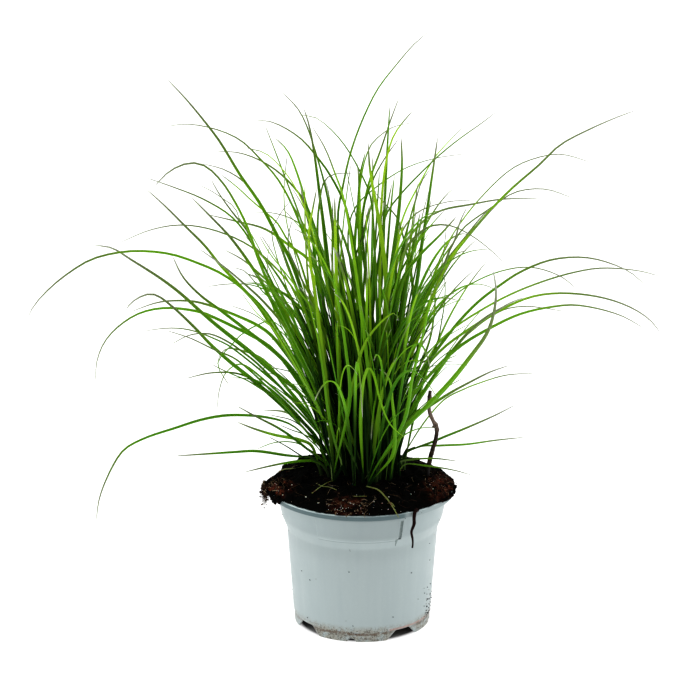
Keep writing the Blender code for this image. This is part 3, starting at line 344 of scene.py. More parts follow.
# %% Lay the floor
FLOOR_GLOW = (0.0, 0.64)
FLOOR_GLOW_RING = (57 * MM, 62.5 * MM)
floor_finish = new_finish("white_floor", Roughness=0.9, Emission_Color=(1, 1, 1, 1))
from_pot = node("VectorMath", {0: place}, operation="LENGTH").outputs["Value"]
dress(mix(noise(3.0), (0.5, 0.5, 0.5), (0.52, 0.52, 0.515)),
      glow=between(from_pot, *FLOOR_GLOW_RING, *FLOOR_GLOW))
corners = np.array([(-1, -1, 0), (1, -1, 0), (1, 1, 0), (-1, 1, 0)]) * FLOOR_HALF - UP * FLOOR_DROP
floor = put_mesh("floor", corners, [np.array([[0, 1, 2, 3]])], floor_finish)
print("floor", 2 * FLOOR_HALF, "m wide")

# %% [markdown]
# ## The pot
# The pot is thin grey-blue plastic, moulded in one piece: a wall with a stepped shoulder, a rolled rim with
# a skirt, a raised panel for a label, a slot for a plant tag, and a foot ring cut by notches. One surface
# can hold it all: a profile turned round the axis, whose radius changes a little with the bearing at the
# panel and the slot, and whose foot is squeezed upwards at the notches. The columns stand close together
# where the slot is, because its edges are only a fraction of a millimetre wide.

# %% The pot's sizes
POT_HEIGHT = 130 * MM
RIM_RADIUS = 85 * MM
RIM_DEPTH = 4.8 * MM
WALL = 1.4 * MM
FOOT_RADIUS = 62.6 * MM
FLOOR_BOTTOM = 9.5 * MM
FLOOR_TOP = 11 * MM
BODY_LOW = (63.4 * MM, FLOOR_BOTTOM)
SHOULDER_LOW = (69.4 * MM, 92 * MM)
SHOULDER_HIGH = (74.2 * MM, 104 * MM)
BODY_HIGH = (79.6 * MM, 128.6 * MM)
BIG_NOTCHES = [-54, 36, 126, 216]
SMALL_NOTCHES = [-9, 81, 171, 261]
BIG_NOTCH = (33 * MM, 8.6 * MM)
SMALL_NOTCH = (8 * MM, 3.2 * MM)
NOTCH_TOP_SHARE = 0.45
FOOT_LINE = 8.9 * MM
DRAIN_RADIUS = 5 * MM
DRAIN_CIRCLE = 46 * MM
PANEL_BEARINGS = (-33, 25.2)
PANEL_HEIGHTS = (100.5 * MM, 123.5 * MM)
PANEL_STANDS_PROUD = 0.8 * MM
SLOT_TOP = (27.6, 120 * MM)
SLOT_BOTTOM = (27.2, 101 * MM)
SLOT_HALF = 1.3 * MM
SLOT_DEPTH = 1.2 * MM
MOULD_WAVE = 0.12 * MM
# A wedge of painted shade below the slot, at the panel's right-hand end: its bearing, its heights and half
# its width at both, as an angle
WEDGE_BEARING = 24.9
WEDGE_HEIGHTS = (94.2 * MM, 101.4 * MM)
WEDGE_HALF_ANGLES = (0.006, 0.019)
print("pot", round(2 * RIM_RADIUS / MM), "mm across and", round(POT_HEIGHT / MM), "mm high")


# %% Bearings, and the wall's radius
def heading(bearing):
    """The level direction at a bearing in degrees: 0 is towards the viewer, 90 is to the viewer's right."""
    angle = np.radians(bearing)
    return np.stack((np.sin(angle), -np.cos(angle), 0 * angle), axis=-1)


def wall_radius(height):
    """The outer wall's radius at a height, in straight stretches below, along and above the shoulder."""
    stations = (BODY_LOW, SHOULDER_LOW, SHOULDER_HIGH, BODY_HIGH)
    return np.interp(height, [z for _, z in stations], [r for r, _ in stations])


# %% Rounded lines and even steps
def rounded_line(corners, steps=4):
    """A line through corners, each given as radius, height and cut. Each corner becomes a Bezier arc that
    starts and ends one cut away from it: its points are the corner's and the ends' weighted average."""
    corners = np.array(corners, float)
    here, before, after = corners[1:-1, :2], corners[:-2, :2], corners[2:, :2]
    cut = corners[1:-1, 2:]
    start = here + unit(before - here) * cut
    end = here + unit(after - here) * cut
    t = np.linspace(0, 1, steps)[None, :, None]
    arcs = (1 - t) ** 2 * start[:, None] + 2 * t * (1 - t) * here[:, None] + t * t * end[:, None]
    return np.vstack((corners[:1, :2], arcs.reshape(-1, 2), corners[-1:, :2]))


def filled_in(line, step_at):
    """The line with points added so that no stretch is longer than the step for its height."""
    pieces = []
    for a, b in zip(line[:-1], line[1:]):
        count = int(np.ceil(np.linalg.norm(b - a) / step_at((a + b) / 2)))
        pieces.append(a + (b - a) * np.linspace(0, 1, max(count, 1), endpoint=False)[:, None])
    return np.vstack((*pieces, line[-1:]))


def row_step(middle):
    """How far apart rows may be: close at the panel's edges, less so on the rest of the outer wall."""
    radius, height = middle
    if radius < wall_radius(height) - WALL / 2 or height < SHOULDER_LOW[1]:
        return 5 * MM
    near_edge = min(abs(height - edge) for edge in PANEL_HEIGHTS)
    return 0.35 * MM if near_edge < 2.8 * MM else 1.3 * MM


# %% The profile
rim_inner = BODY_HIGH[0] - WALL
rim_low = POT_HEIGHT - RIM_DEPTH
skirt_inner = RIM_RADIUS - WALL
profile = rounded_line([
    (0.5 * MM, FLOOR_TOP, 0),
    (BODY_LOW[0] - WALL, FLOOR_TOP, 0.8 * MM),
    (SHOULDER_LOW[0] - WALL, SHOULDER_LOW[1], 1 * MM),
    (SHOULDER_HIGH[0] - WALL, SHOULDER_HIGH[1], 1 * MM),
    (rim_inner, POT_HEIGHT, 0.7 * MM),
    (RIM_RADIUS, POT_HEIGHT, 1.1 * MM),
    (RIM_RADIUS, rim_low, 0.5 * MM),
    (skirt_inner, rim_low, 0.4 * MM),
    (skirt_inner, POT_HEIGHT - WALL, 0.6 * MM),
    (*BODY_HIGH, 0.6 * MM),
    (*SHOULDER_HIGH, 1.2 * MM),
    (*SHOULDER_LOW, 1.6 * MM),
    (BODY_LOW[0], FLOOR_BOTTOM + 0.9 * MM, 0.3 * MM),
    (FOOT_RADIUS + 0.15 * MM, FOOT_LINE, 0.3 * MM),
    (FOOT_RADIUS, 0, 0.4 * MM),
    (FOOT_RADIUS - WALL, 0, 0.4 * MM),
    (FOOT_RADIUS - WALL, FLOOR_BOTTOM, 0.4 * MM),
    (0.5 * MM, FLOOR_BOTTOM, 0),
])
profile = filled_in(profile, row_step)
print(len(profile), "rows in the pot's profile")

# %% The pot's surface
bearings = np.unique(np.round(np.concatenate((
    np.arange(-180, 180, 1.0),
    np.arange(24.6, 29.3, 0.13),
    PANEL_BEARINGS[0] + np.arange(-0.8, 0.9, 0.2),
)), 3))


def notch_edge(bearing):
    """How high the foot's edge is cut at a bearing. Each notch is as high as its size says over its narrow
    top, and its sides slope straight down from there to its full width."""
    edge = np.zeros_like(bearing)
    for centres, (width, height) in ((BIG_NOTCHES, BIG_NOTCH), (SMALL_NOTCHES, SMALL_NOTCH)):
        top = width * NOTCH_TOP_SHARE / 2
        for centre in centres:
            away = (bearing - centre + 180) % 360 - 180
            across = np.abs(np.radians(away)) * FOOT_RADIUS
            edge = np.maximum(edge, np.clip((width / 2 - across) / (width / 2 - top), 0, 1) * height)
    return edge


def panel_height(bearing, height):
    """How far the wall stands out at the panel: it steps up at the lower edge, comes out to its full height
    over the shoulder, steps down at the upper edge, and fades at its two ends."""
    low, high = PANEL_HEIGHTS
    step = 0.8 * smoothstep(low - 0.2 * MM, low + 0.3 * MM, height)
    slope = 0.2 * smoothstep(low, SHOULDER_HIGH[1], height)
    top = 1 - smoothstep(high - 0.2 * MM, high + 0.3 * MM, height)
    ends = smoothstep(PANEL_BEARINGS[0] - 0.4, PANEL_BEARINGS[0] + 0.4, bearing)
    ends = ends * (1 - smoothstep(PANEL_BEARINGS[1] - 0.2, PANEL_BEARINGS[1] + 0.2, bearing))
    return PANEL_STANDS_PROUD * (step + slope) * top * ends


def slot_depth(bearing, height):
    """How deep the tag slot is cut: full depth within its half width of a leaning line, none outside it."""
    lean = (SLOT_TOP[0] - SLOT_BOTTOM[0]) / (SLOT_TOP[1] - SLOT_BOTTOM[1])
    middle = SLOT_BOTTOM[0] + (height - SLOT_BOTTOM[1]) * lean
    across = np.abs(np.radians(bearing - middle)) * wall_radius(height)
    inside = 1 - smoothstep(SLOT_HALF - 0.15 * MM, SLOT_HALF + 0.15 * MM, across)
    ends = smoothstep(SLOT_BOTTOM[1] - 0.2 * MM, SLOT_BOTTOM[1] + 0.2 * MM, height)
    ends = ends * (1 - smoothstep(SLOT_TOP[1] - 0.2 * MM, SLOT_TOP[1] + 0.2 * MM, height))
    return SLOT_DEPTH * inside * ends


# %% The pot's rings
def pot_rings():
    """Every profile point at every bearing. Outside the wall the radius gets the panel and loses the slot.
    Below the foot line each height is squeezed into what the notch leaves of it."""
    radius, height = (profile[:, k][:, None] + 0 * bearings for k in (0, 1))
    around = 0 * radius + bearings
    outside = (np.abs(radius - wall_radius(height)) < WALL / 2) & (height > SHOULDER_LOW[1])
    radius = radius + np.where(outside, panel_height(around, height) - slot_depth(around, height), 0)
    foot = radius > FOOT_RADIUS - 1.5 * WALL
    line = np.where(radius > FOOT_RADIUS - WALL / 2, FOOT_LINE, FLOOR_BOTTOM)
    share = np.clip(1 - height / line, 0, 1)
    height = height + np.where(foot, notch_edge(around) * share, 0)
    points = heading(around) * radius[..., None] + UP * height[..., None]
    wave = clouds(points, 45 * MM, 2)[..., None] * MOULD_WAVE
    return points + heading(around) * wave * (height > FLOOR_TOP)[..., None]


# %% [markdown]
# ### The pot's plastic
# The plastic is a light grey-blue with a satin surface that has seen some dust. It is not one colour: it is
# mottled at the scale of a centimetre and of a millimetre, a broad band round the shoulder is a little
# darker, and wet soil has left brown and whitish marks on the foot. Light and shade are painted on it as
# well: painted shade on the wall above the shoulder, on the panel, dark teal on the rim's skirt, in the tag
# slot, in a wedge under the slot and in the hollow under the pot, a painted shadow in the crease below the
# panel, and painted highlights on the panel's lower edge and on the rim's top edge. Each is a layer over the
# last one, masked by height and bearing, so that every mark has its own place and strength.


# %% The plastic's own colour
def band(value, low, high, soft):
    """1 while a number is between two others, and 0 from a soft edge's width outside them."""
    return times(between(value, low - soft, low), between(value, high, high + soft, 1.0, 0.0))


plastic = new_finish("grey_blue_plastic", IOR=1.47)
altitude = axis("Z")
turn = maths("ARCTAN2", axis("X"), times(axis("Y"), -1.0))
streaks = node("Mapping", {"Vector": place, "Scale": (160.0, 160.0, 8.0)}).outputs["Vector"]
tone = mix(noise(1.0, where=streaks), (0.38, 0.45, 0.46), (0.43, 0.5, 0.5))
tone = over(tone, (0.57, 0.65, 0.65), between(noise(420.0, 2.0), 0.5, 0.8, 0.0, 0.08))
# Painted shade on the wall above the shoulder, where the leaves shade it
upper_shade = between(altitude, SHOULDER_HIGH[1] - 4 * MM, SHOULDER_HIGH[1], 0.0, 0.3)
tone = over(tone, (0.25, 0.31, 0.32), upper_shade)
print(len(tree.nodes), "nodes so far")


# %% The panel, the rim, the slot and the mark below it
def turn_band(first, last, soft):
    """1 between two bearings in degrees, with soft edges of this many radians."""
    return band(turn, math.radians(first), math.radians(last), soft)


along_panel = turn_band(*PANEL_BEARINGS, 0.01)
panel_ends = times(between(turn, math.radians(-34), math.radians(2)),
                   between(turn, math.radians(25), math.radians(26), 1.0, 0.0))
# Painted shade on the panel's face, and a broad band round the shoulder a little darker
tone = over(tone, (0.1, 0.12, 0.12), band(altitude, *PANEL_HEIGHTS, 0.8 * MM), panel_ends, 0.15)
tone = over(tone, (0.1, 0.12, 0.12), band(altitude, 90 * MM, 97 * MM, 16 * MM), 0.09)
# A painted highlight along the panel's lower edge
tone = over(tone, (0.62, 0.7, 0.7), band(altitude, 100.9 * MM, 101.3 * MM, 0.4 * MM), along_panel, 0.2)
# Painted shade, dark teal, on the rim's skirt: strong at the front and left, weak to the right of the slot
skirt = between(altitude, rim_low - 0.3 * MM, rim_low + 0.3 * MM)
tone = over(tone, (0.068, 0.12, 0.13), skirt, between(axis("X"), 36 * MM, 41 * MM, 0.92, 0.2))
# A painted highlight along the rim's top edge, strongest at the front and left
rim_highlight = between(altitude, POT_HEIGHT - 1.2 * MM, POT_HEIGHT - 0.4 * MM)
lit_lip = between(turn, math.radians(-40), math.radians(5), 0.85, 0.4)
tone = over(tone, (0.6, 0.72, 0.72), rim_highlight, lit_lip)
# A painted shadow in the crease under the panel's lower step
tone = over(tone, (0.18, 0.23, 0.24), band(altitude, 99.6 * MM, 100.2 * MM, 0.5 * MM), along_panel, 0.45)
# Painted shade, mottled by noise, in the tag slot's groove
mottled_shade = mix(between(noise(700.0), 0.45, 0.6), (0.15, 0.2, 0.19), (0.068, 0.09, 0.083))
slot_middle = math.radians((SLOT_TOP[0] + SLOT_BOTTOM[0]) / 2)
slot_angle = SLOT_HALF / SHOULDER_HIGH[0]
groove = band(turn, slot_middle - slot_angle, slot_middle + slot_angle, 0.004)
tone = over(tone, mottled_shade, groove, band(altitude, SLOT_BOTTOM[1], SLOT_TOP[1], 0.8 * MM), 0.6)
# Painted shade in a wedge below the panel's right-hand end, under the slot
wedge_half = between(altitude, *WEDGE_HEIGHTS, *WEDGE_HALF_ANGLES)
wedge_away = maths("ABSOLUTE", maths("SUBTRACT", turn, math.radians(WEDGE_BEARING)))
wedge = between(maths("DIVIDE", wedge_away, wedge_half), 0.8, 1.2, 1.0, 0.0)
tone = over(tone, mottled_shade, wedge, band(altitude, *WEDGE_HEIGHTS, 0.5 * MM), 0.8)
print(len(tree.nodes), "nodes so far")

# %% Soil on the foot, and painted shade under the pot
dirty = maths("MAXIMUM", turn_band(-45, 20, 0.25), times(turn_band(55, 95, 0.15), 0.9))
dirty = maths("MAXIMUM", dirty, 0.45)
foot = times(between(altitude, 9 * MM, 17 * MM, 1.0, 0.0), dirty)
tone = over(tone, (0.32, 0.3, 0.24), foot, between(noise(150.0, 5.0, 0.7), 0.34, 0.55), 0.75)
tone = over(tone, (0.06, 0.045, 0.03), foot, between(noise(480.0, 6.0, 0.85), 0.5, 0.57), 0.85)
wavy = maths("ADD", altitude, times(noise(60.0), 5 * MM))
mud_line = times(band(wavy, 9.4 * MM, 10.9 * MM, 1.0 * MM), dirty)
tone = over(tone, (0.11, 0.065, 0.035), mud_line, between(noise(260.0, 5.0, 0.7), 0.36, 0.54), 0.75)
rusty = times(between(altitude, 8.6 * MM, 9.6 * MM), between(altitude, 9.8 * MM, 12 * MM, 1.0, 0.0))
tone = over(tone, (0.45, 0.15, 0.09), rusty, turn_band(24, 66, 0.05), 0.5)
# Painted shade in the hollow under the pot: on the inside of the foot and the underside of the floor
from_axis = node("VectorMath", {0: vector(axis("X"), axis("Y"))}, operation="LENGTH").outputs["Value"]
inside_foot = between(from_axis, FOOT_RADIUS - 0.6 * WALL, FOOT_RADIUS - 0.3 * WALL, 1.0, 0.0)
under_floor = between(altitude, FLOOR_BOTTOM, FLOOR_BOTTOM + 0.5 * MM, 1.0, 0.0)
tone = over(tone, (0.025, 0.02, 0.017), inside_foot, under_floor, 0.85)
sheen = between(noise(90.0, 4.0), 0.3, 0.75, 0.36, 0.52)
dress(tone, sheen, noise(900.0, 2.0), 0.02 * MM)


# %% Turn the pot and drill it
def drill(item, cutters):
    """Takes the cutters out of a closed mesh and leaves it as a plain mesh again."""
    for cutter in cutters:
        step = item.modifiers.new("Drain", "BOOLEAN")
        step.operation = "DIFFERENCE"
        step.solver = "MANIFOLD"
        step.object = cutter
    drilled = bpy.data.meshes.new_from_object(item.evaluated_get(bpy.context.evaluated_depsgraph_get()))
    item.modifiers.clear()
    item.data = drilled
    for cutter in cutters:
        bpy.data.objects.remove(cutter, do_unlink=True)


def drain_plug(bearing):
    """A round plug through the floor: one circle at two heights, closed by fans."""
    turns = np.radians(np.arange(0, 360, 12))
    ring = np.column_stack((np.cos(turns), np.sin(turns), 0 * turns)) * DRAIN_RADIUS
    centre = heading(bearing) * DRAIN_CIRCLE
    low, high = UP * (FLOOR_BOTTOM - MM), UP * (FLOOR_TOP + MM)
    rings = np.stack((centre + ring + low, centre + ring + high))
    return put_mesh("drain", *closed_rings(rings, centre + low, centre + high), plastic)


rings = pot_rings()
pot_points, pot_faces = closed_rings(rings, UP * FLOOR_TOP, UP * FLOOR_BOTTOM)
pot = put_mesh("pot_wall", pot_points, pot_faces, plastic, sharp=50)
drill(pot, [drain_plug(bearing) for bearing in BIG_NOTCHES])
hand_over(pot, "pot", "pot")

# %% [markdown]
# ## The peat
# Moist peat fills the pot, stands up in a low dome round the plant and has spilled over the rim at both
# sides. Its form is the solid's, a formula of radius and bearing, and its crumbly look is noise added to
# that in three sizes. Only the top is rough, because the pot shapes the rest. A clot full of roots hangs
# from the left spill.

# %% The peat's sizes
GAP = 0.3 * MM
CROWN_HEIGHT = 143 * MM
CROWN_RADIUS = 44 * MM
PEAT_EDGE = 131.4 * MM
PEAT_SLOPE_BEND = 1.3
PEAT_SPILL_THICKNESS = 0.6 * MM
# Where the peat goes over the rim: bearing, half the width in degrees, and how far out
SPILLS = [(-90, 40, 9.5 * MM), (88, 30, 5 * MM)]
SPILL_SETBACK = 5 * MM
# Humps on the slope: bearing, radius in millimetres, half the width in degrees, and height
PEAT_HUMPS = [(-112, 66, 34, 5 * MM), (-70, 74, 26, 4 * MM), (80, 72, 30, 1.2 * MM), (4, 66, 30, 1.5 * MM),
              (62, 66, 26, 2.5 * MM)]
HUMP_HALF_DEPTH = 20
# A lump that still has its flat top and steep sides, with the same four measures
PEAT_BLOCK = (-120, 53, 27, 4 * MM)
BLOCK_HALF_DEPTH = 14
CLOT_BEARING = -90
CLOT_PLACE = (89.4 * MM, 126 * MM)
CLOT_HALF_SIZES = np.array((3.6, 9.5, 6.5)) * MM
PEAT_ROUGHNESS = 1.5 * MM
# Where the peat is red and fibrous: bearing, radius in millimetres, half the width in degrees, and how much
RUST_PATCHES = [(-74, 82, 20, 1.0), (76, 76, 34, 1.0), (-11, 76, 17, 0.62)]
RUST_HALF_DEPTH = 16
PEAT_ON_RIM = 84.3 * MM
print(len(PEAT_HUMPS), "humps and", len(SPILLS), "spills")


# %% The peat's height and reach
def bump(bearing, centre, half_width):
    """1 at the centre bearing, falling as half a cosine wave to 0 at half_width degrees to each side."""
    away = np.abs((np.asarray(bearing) - centre + 180) % 360 - 180)
    return np.where(away < half_width, 0.5 + 0.5 * np.cos(np.pi * np.minimum(away / half_width, 1)), 0.0)


def peat_height(radius, bearing):
    """The peat's top: a level crown, a slope down to the rim as a power of the way there, and on the slope a
    few humps, each a parabola along the radius times a cosine wave round the pot, and one steeper block."""
    slope = np.clip((radius - CROWN_RADIUS) / (RIM_RADIUS - CROWN_RADIUS), 0, 1)
    height = CROWN_HEIGHT + (PEAT_EDGE - CROWN_HEIGHT) * slope**PEAT_SLOPE_BEND
    for centre, at, half_width, rise in PEAT_HUMPS:
        near = np.clip(1 - ((radius / MM - at) / HUMP_HALF_DEPTH) ** 2, 0, 1)
        height = height + rise * near * bump(bearing, centre, half_width)
    centre, at, half_width, rise = PEAT_BLOCK
    near = np.clip(1 - ((radius / MM - at) / BLOCK_HALF_DEPTH) ** 2, 0, 1)
    return height + rise * smoothstep(0.15, 0.4, near * bump(bearing, centre, half_width))


def peat_reach(bearing):
    """How far out the peat's top goes: raggedly on to the top of the rim, and past the rim at the spills."""
    plain = BODY_HIGH[0] - WALL - GAP
    spilled = plain + sum((RIM_RADIUS - plain + spill - SPILL_SETBACK) * bump(bearing, centre, width)
                          for centre, width, spill in SPILLS)
    ragged = PEAT_ON_RIM + 1.2 * MM * clouds(heading(bearing) * RIM_RADIUS, 7 * MM, 3)
    return np.maximum(spilled, ragged)


# %% The peat's surface
PEAT_COLUMNS = 300
PEAT_ROWS = 90


def rough(points, strength):
    """The points moved by noise of this strength: upwards most, and sideways half as much."""
    lift = clouds(points, 9 * MM, 5)
    aside = np.stack((clouds(points + 1, 6 * MM, 3), clouds(points + 2, 6 * MM, 3), 1.6 * lift), axis=-1)
    return points + aside * strength


def peat_bed():
    """Rings up the inside of the pot and over the top to the middle. On top, a ring's radius is a share of
    the peat's reach, and its height the peat's, eased down to the rim's over the outermost part."""
    around = np.linspace(0, 360, PEAT_COLUMNS, endpoint=False)
    way = heading(around)
    inside = [(BODY_LOW[0] - WALL, FLOOR_TOP + GAP), (SHOULDER_LOW[0] - WALL, SHOULDER_LOW[1]),
              (SHOULDER_HIGH[0] - WALL, SHOULDER_HIGH[1]), (BODY_HIGH[0] - WALL, POT_HEIGHT + GAP)]
    sides = np.array([way * (radius - GAP) + UP * height for radius, height in inside])
    share = (1 - np.linspace(0, 1, PEAT_ROWS, endpoint=False) ** 1.15)[:, None]
    radius = share * peat_reach(around)
    lip = POT_HEIGHT + 2.3 * GAP
    top = np.maximum(peat_height(radius, around), lip + PEAT_SPILL_THICKNESS)
    eased = lip + (top - lip) * smoothstep(0, 0.05, 1 - share) ** 0.5
    skin = way * radius[..., None] + UP * eased[..., None]
    skin = rough(skin, PEAT_ROUGHNESS * smoothstep(0, 0.04, 1 - share)[..., None])
    skin[..., 2] = np.maximum(skin[..., 2], lip)
    return closed_rings(np.concatenate((sides, skin)), UP * (FLOOR_TOP + GAP), UP * CROWN_HEIGHT)


# %% The clot, and where the peat is red
def ball(rings, columns):
    """A ball of radius one without its poles: the sines and cosines of a tilt and a turn."""
    tilt = np.linspace(0, np.pi, rings + 2)[1:-1, None]
    turn = np.linspace(0, 2 * np.pi, columns, endpoint=False)
    level = np.sin(tilt)
    return np.stack((level * np.cos(turn), level * np.sin(turn), -np.cos(tilt) + 0 * turn), axis=-1)


def clot():
    """The hanging clot: a ball stretched to its half sizes and pushed out or in by noise."""
    form = ball(40, 64)
    tatter = 1 + 0.32 * clouds(form * CLOT_HALF_SIZES, 4 * MM, 4)[..., None]
    frame_of_clot = np.array([heading(CLOT_BEARING), heading(CLOT_BEARING + 90), UP])
    centre = heading(CLOT_BEARING) * CLOT_PLACE[0] + UP * CLOT_PLACE[1]
    skin = centre + (form * tatter * CLOT_HALF_SIZES) @ frame_of_clot
    return closed_rings(skin, skin[0].mean(axis=0), skin[-1].mean(axis=0))


def rust(points):
    """How red and fibrous the peat is, from 0 to 1: three patches near the rim, each with its share, times
    noise that breaks them up."""
    bearing = np.degrees(np.arctan2(points[:, 0], -points[:, 1]))
    radius = np.hypot(points[:, 0], points[:, 1]) / MM
    patches = 0.0
    for centre, at, width, share in RUST_PATCHES:
        near = np.clip(1 - ((radius - at) / RUST_HALF_DEPTH) ** 2, 0, 1)
        patches = patches + share * bump(bearing, centre, width) * near
    return np.clip(patches * (0.7 + 1.3 * clouds(points, 5 * MM, 3)), 0, 1)


def together(*meshes):
    """Several meshes as one: their points in a row, and their faces counted on."""
    starts = np.cumsum([0] + [len(points) for points, _ in meshes])
    faces = [side + start for (_, sides), start in zip(meshes, starts) for side in sides]
    return np.vstack([points for points, _ in meshes]), faces


# %% The peat's finish
peat = new_finish("moist_peat", Specular_IOR_Level=0.04)
grain = noise(420.0, 5.0, 0.65)
tone = ramp(grain, (0.35, (0.0005, 0.0005, 0.0003)), (0.62, (0.0013, 0.0012, 0.0007)),
            (0.85, (0.01, 0.007, 0.004)))
fibre = ramp(noise(300.0, 4.0, 0.7), (0.4, (0.008, 0.0016, 0.001)), (0.56, (0.1, 0.02, 0.008)),
             (0.76, (0.34, 0.12, 0.06)))
tone = over(tone, fibre, kept("rust"), 0.85)
dress(tone, between(grain, 0.3, 0.8, 0.75, 0.98), noise(1100.0, 4.0), 0.25 * MM)

bed_points, bed_faces = together(peat_bed(), clot())
bed = put_mesh("peat_bed", bed_points, bed_faces, peat, values={"rust": rust(bed_points)})
hand_over(bed, "peat", "peat")

# %% [markdown]
# ### Crumbs, grit and fibres
# Close up, peat is crumbs of a millimetre or two, white grains of perlite, and a felt of pale and red-brown
# fibres. Each kind is one piece: a small form repeated at many places on the bed, all worked out in one
# array. A ray cast down, or along the viewer's line of sight, finds where each one rests.

# %% Find places on the bed
DROP_HEIGHT = 0.3


def tree_of_mesh(mesh):
    """A search tree of a mesh's faces."""
    return BVHTree.FromPolygons([v.co for v in mesh.vertices], [tuple(p.vertices) for p in mesh.polygons])


def sight(pixels):
    """The directions in which the viewer sees pixels: forward, plus their offsets from the picture's middle
    as shares of the focal length."""
    pixels = np.asarray(pixels, float)
    right = (pixels[:, 0] - FRAME_MIDDLE) / FOCAL_PIXELS
    up = (FRAME_MIDDLE - pixels[:, 1]) / FOCAL_PIXELS
    forward, down = math.cos(EYE_TILT), math.sin(EYE_TILT)
    return np.column_stack((right, forward + up * down, up * forward - down))


def falling(surface, level):
    """Where points that fall from above meet a surface, and None for one that misses it."""
    return [surface.ray_cast(Vector((x, y, DROP_HEIGHT)), Vector((0, 0, -1)))[0] for x, y in level]


def met(hits):
    """The places of those rays that met something."""
    return np.array([tuple(hit) for hit in hits if hit is not None])


def seen_on(surface, pixels):
    """Where the lines of sight through these pixels meet a surface."""
    return met(surface.ray_cast(Vector(EYE), Vector(way))[0] for way in sight(pixels))


def scattered(random, count, reach_share=0.985):
    """Level places spread evenly over the bed: the radius is a share of the bed's reach, and the share is
    the square root of an even draw, so that equal areas get equal numbers."""
    turn = random.uniform(-180, 180, count)
    radius = peat_reach(turn) * reach_share * np.sqrt(random.uniform(0, 1, count))
    return (heading(turn) * radius[:, None])[:, :2]


bed_tree = tree_of_mesh(bed.data)
print(len(bed.data.polygons), "faces to land on")

# %% Small lumps
LUMP_RINGS = 3
LUMP_COLUMNS = 6


def lumps(random, centres, sizes, flat=0.75):
    """A lump at each centre: a ball of a few rings, each point pushed out or in at random, stretched and
    turned at random and flattened a little. Returns points and faces of all of them."""
    form = np.vstack((ball(LUMP_RINGS, LUMP_COLUMNS).reshape(-1, 3), -UP, UP))
    count = len(centres)
    shape = form * random.uniform(0.7, 1.25, (count, len(form), 1)) * random.uniform(0.7, 1.3, (count, 1, 3))
    turned, _ = np.linalg.qr(random.normal(size=(count, 3, 3)))
    turned *= np.sign(np.linalg.det(turned))[:, None, None]
    shape = np.einsum("nij,npj->npi", turned, shape) * (1, 1, flat)
    points = np.asarray(centres)[:, None] + shape * np.asarray(sizes)[:, None, None]
    _, faces = closed_rings(np.zeros((LUMP_RINGS, LUMP_COLUMNS, 3)), UP, UP)
    return points.reshape(-1, 3), [many(side, count, len(form)) for side in faces]


def per_lump(numbers):
    """One number for each lump, repeated at each of its points."""
    return np.repeat(numbers, LUMP_RINGS * LUMP_COLUMNS + 2)


# %% Where crumbs lie, cling and hang
LUMP_SIZES = (0.3 * MM, 1.5 * MM)
LUMP_COUNT = 1700
CRUMB_PIXELS = [(361, 519), (358, 518), (421, 512), (410, 507), (376, 508), (334, 509), (300, 506),
                (289, 502), (442, 497), (450, 488)]
# Where peat hangs over the outside of the rim: bearings, heights, sizes and number of its lumps
APRONS = [((-90, -57), (122 * MM, 131.8 * MM), (0.7 * MM, 2.0 * MM), 220),
          ((56, 86), (128 * MM, 131.3 * MM), (0.6 * MM, 1.7 * MM), 130)]
APRON_DEPTH = 1.0 * MM
CLOT_CRUMBS = 120
HANGING_CRUMBS = 130
LOWEST_CRUMB = 108 * MM
ROOTLETS = 110
FIBRE_ROWS = 9


# %% Lumps on the rim, and hanging roots
def apron(random, bearings, heights, sizes, count):
    """Places on the outside of the rim, and the size of the lump at each. The lumps hang lowest in the
    middle of the apron: there the height is drawn from the whole range, and at its ends from the top."""
    share = random.uniform(-1, 1, count)
    bearing = np.mean(bearings) + share * np.ptp(bearings) / 2
    low = heights[0] + (heights[1] - heights[0]) * np.abs(share) ** 2
    height = random.uniform(low, heights[1])
    size = random.uniform(*sizes, count)
    radius = RIM_RADIUS + random.uniform(0, APRON_DEPTH, count)
    return heading(bearing) * radius[:, None] + UP * height[:, None], size


def curl(random, count, strength):
    """How far thin roots swing aside along their length: a sine of the length, with a pitch and a direction
    of its own for each root, as strong as this many millimetres."""
    return np.sin(hang * random.uniform(2, 6, (count, 1, 1))) * random.normal(0, strength, (count, 1, 3)) * MM


def rootlets(random, count):
    """Fine roots that hang from the clot: each starts on its skin, falls a few millimetres, swings aside and
    curls."""
    start = clot_skin[random.integers(0, len(clot_skin), count)][:, None]
    swing = random.normal(0, 2.2, (count, 1, 3)) * MM * (1, 1, 0.3)
    curls = curl(random, count, 1.2)
    drop = UP * random.uniform(4, 12, (count, 1, 1)) * MM
    return start + hang * (swing - drop) + curls


# %% Find the crumbs' places
random = np.random.default_rng(21)
hang = np.linspace(0, 1, FIBRE_ROWS)[None, :, None]
lying = met(falling(bed_tree, scattered(random, LUMP_COUNT)))
clot_skin = bed_points[bed_points[:, 0] < -RIM_RADIUS - 1.5 * MM]
clot_places = clot_skin[random.integers(0, len(clot_skin), CLOT_CRUMBS)]
root_paths = rootlets(random, ROOTLETS)
hanging = root_paths[random.integers(0, ROOTLETS, HANGING_CRUMBS),
                     random.integers(2, FIBRE_ROWS, HANGING_CRUMBS)]
hanging[:, 2] = np.maximum(hanging[:, 2], LOWEST_CRUMB)
crumb_places = np.vstack((hanging, lying, seen_on(bed_tree, CRUMB_PIXELS), clot_places))
crumb_sizes = LUMP_SIZES[0] + (LUMP_SIZES[1] - LUMP_SIZES[0]) * random.uniform(0, 1, len(crumb_places)) ** 3
for item in APRONS:
    places, sizes = apron(random, *item)
    crumb_places = np.vstack((crumb_places, places))
    crumb_sizes = np.concatenate((crumb_sizes, sizes))
print(len(crumb_places), "crumbs")


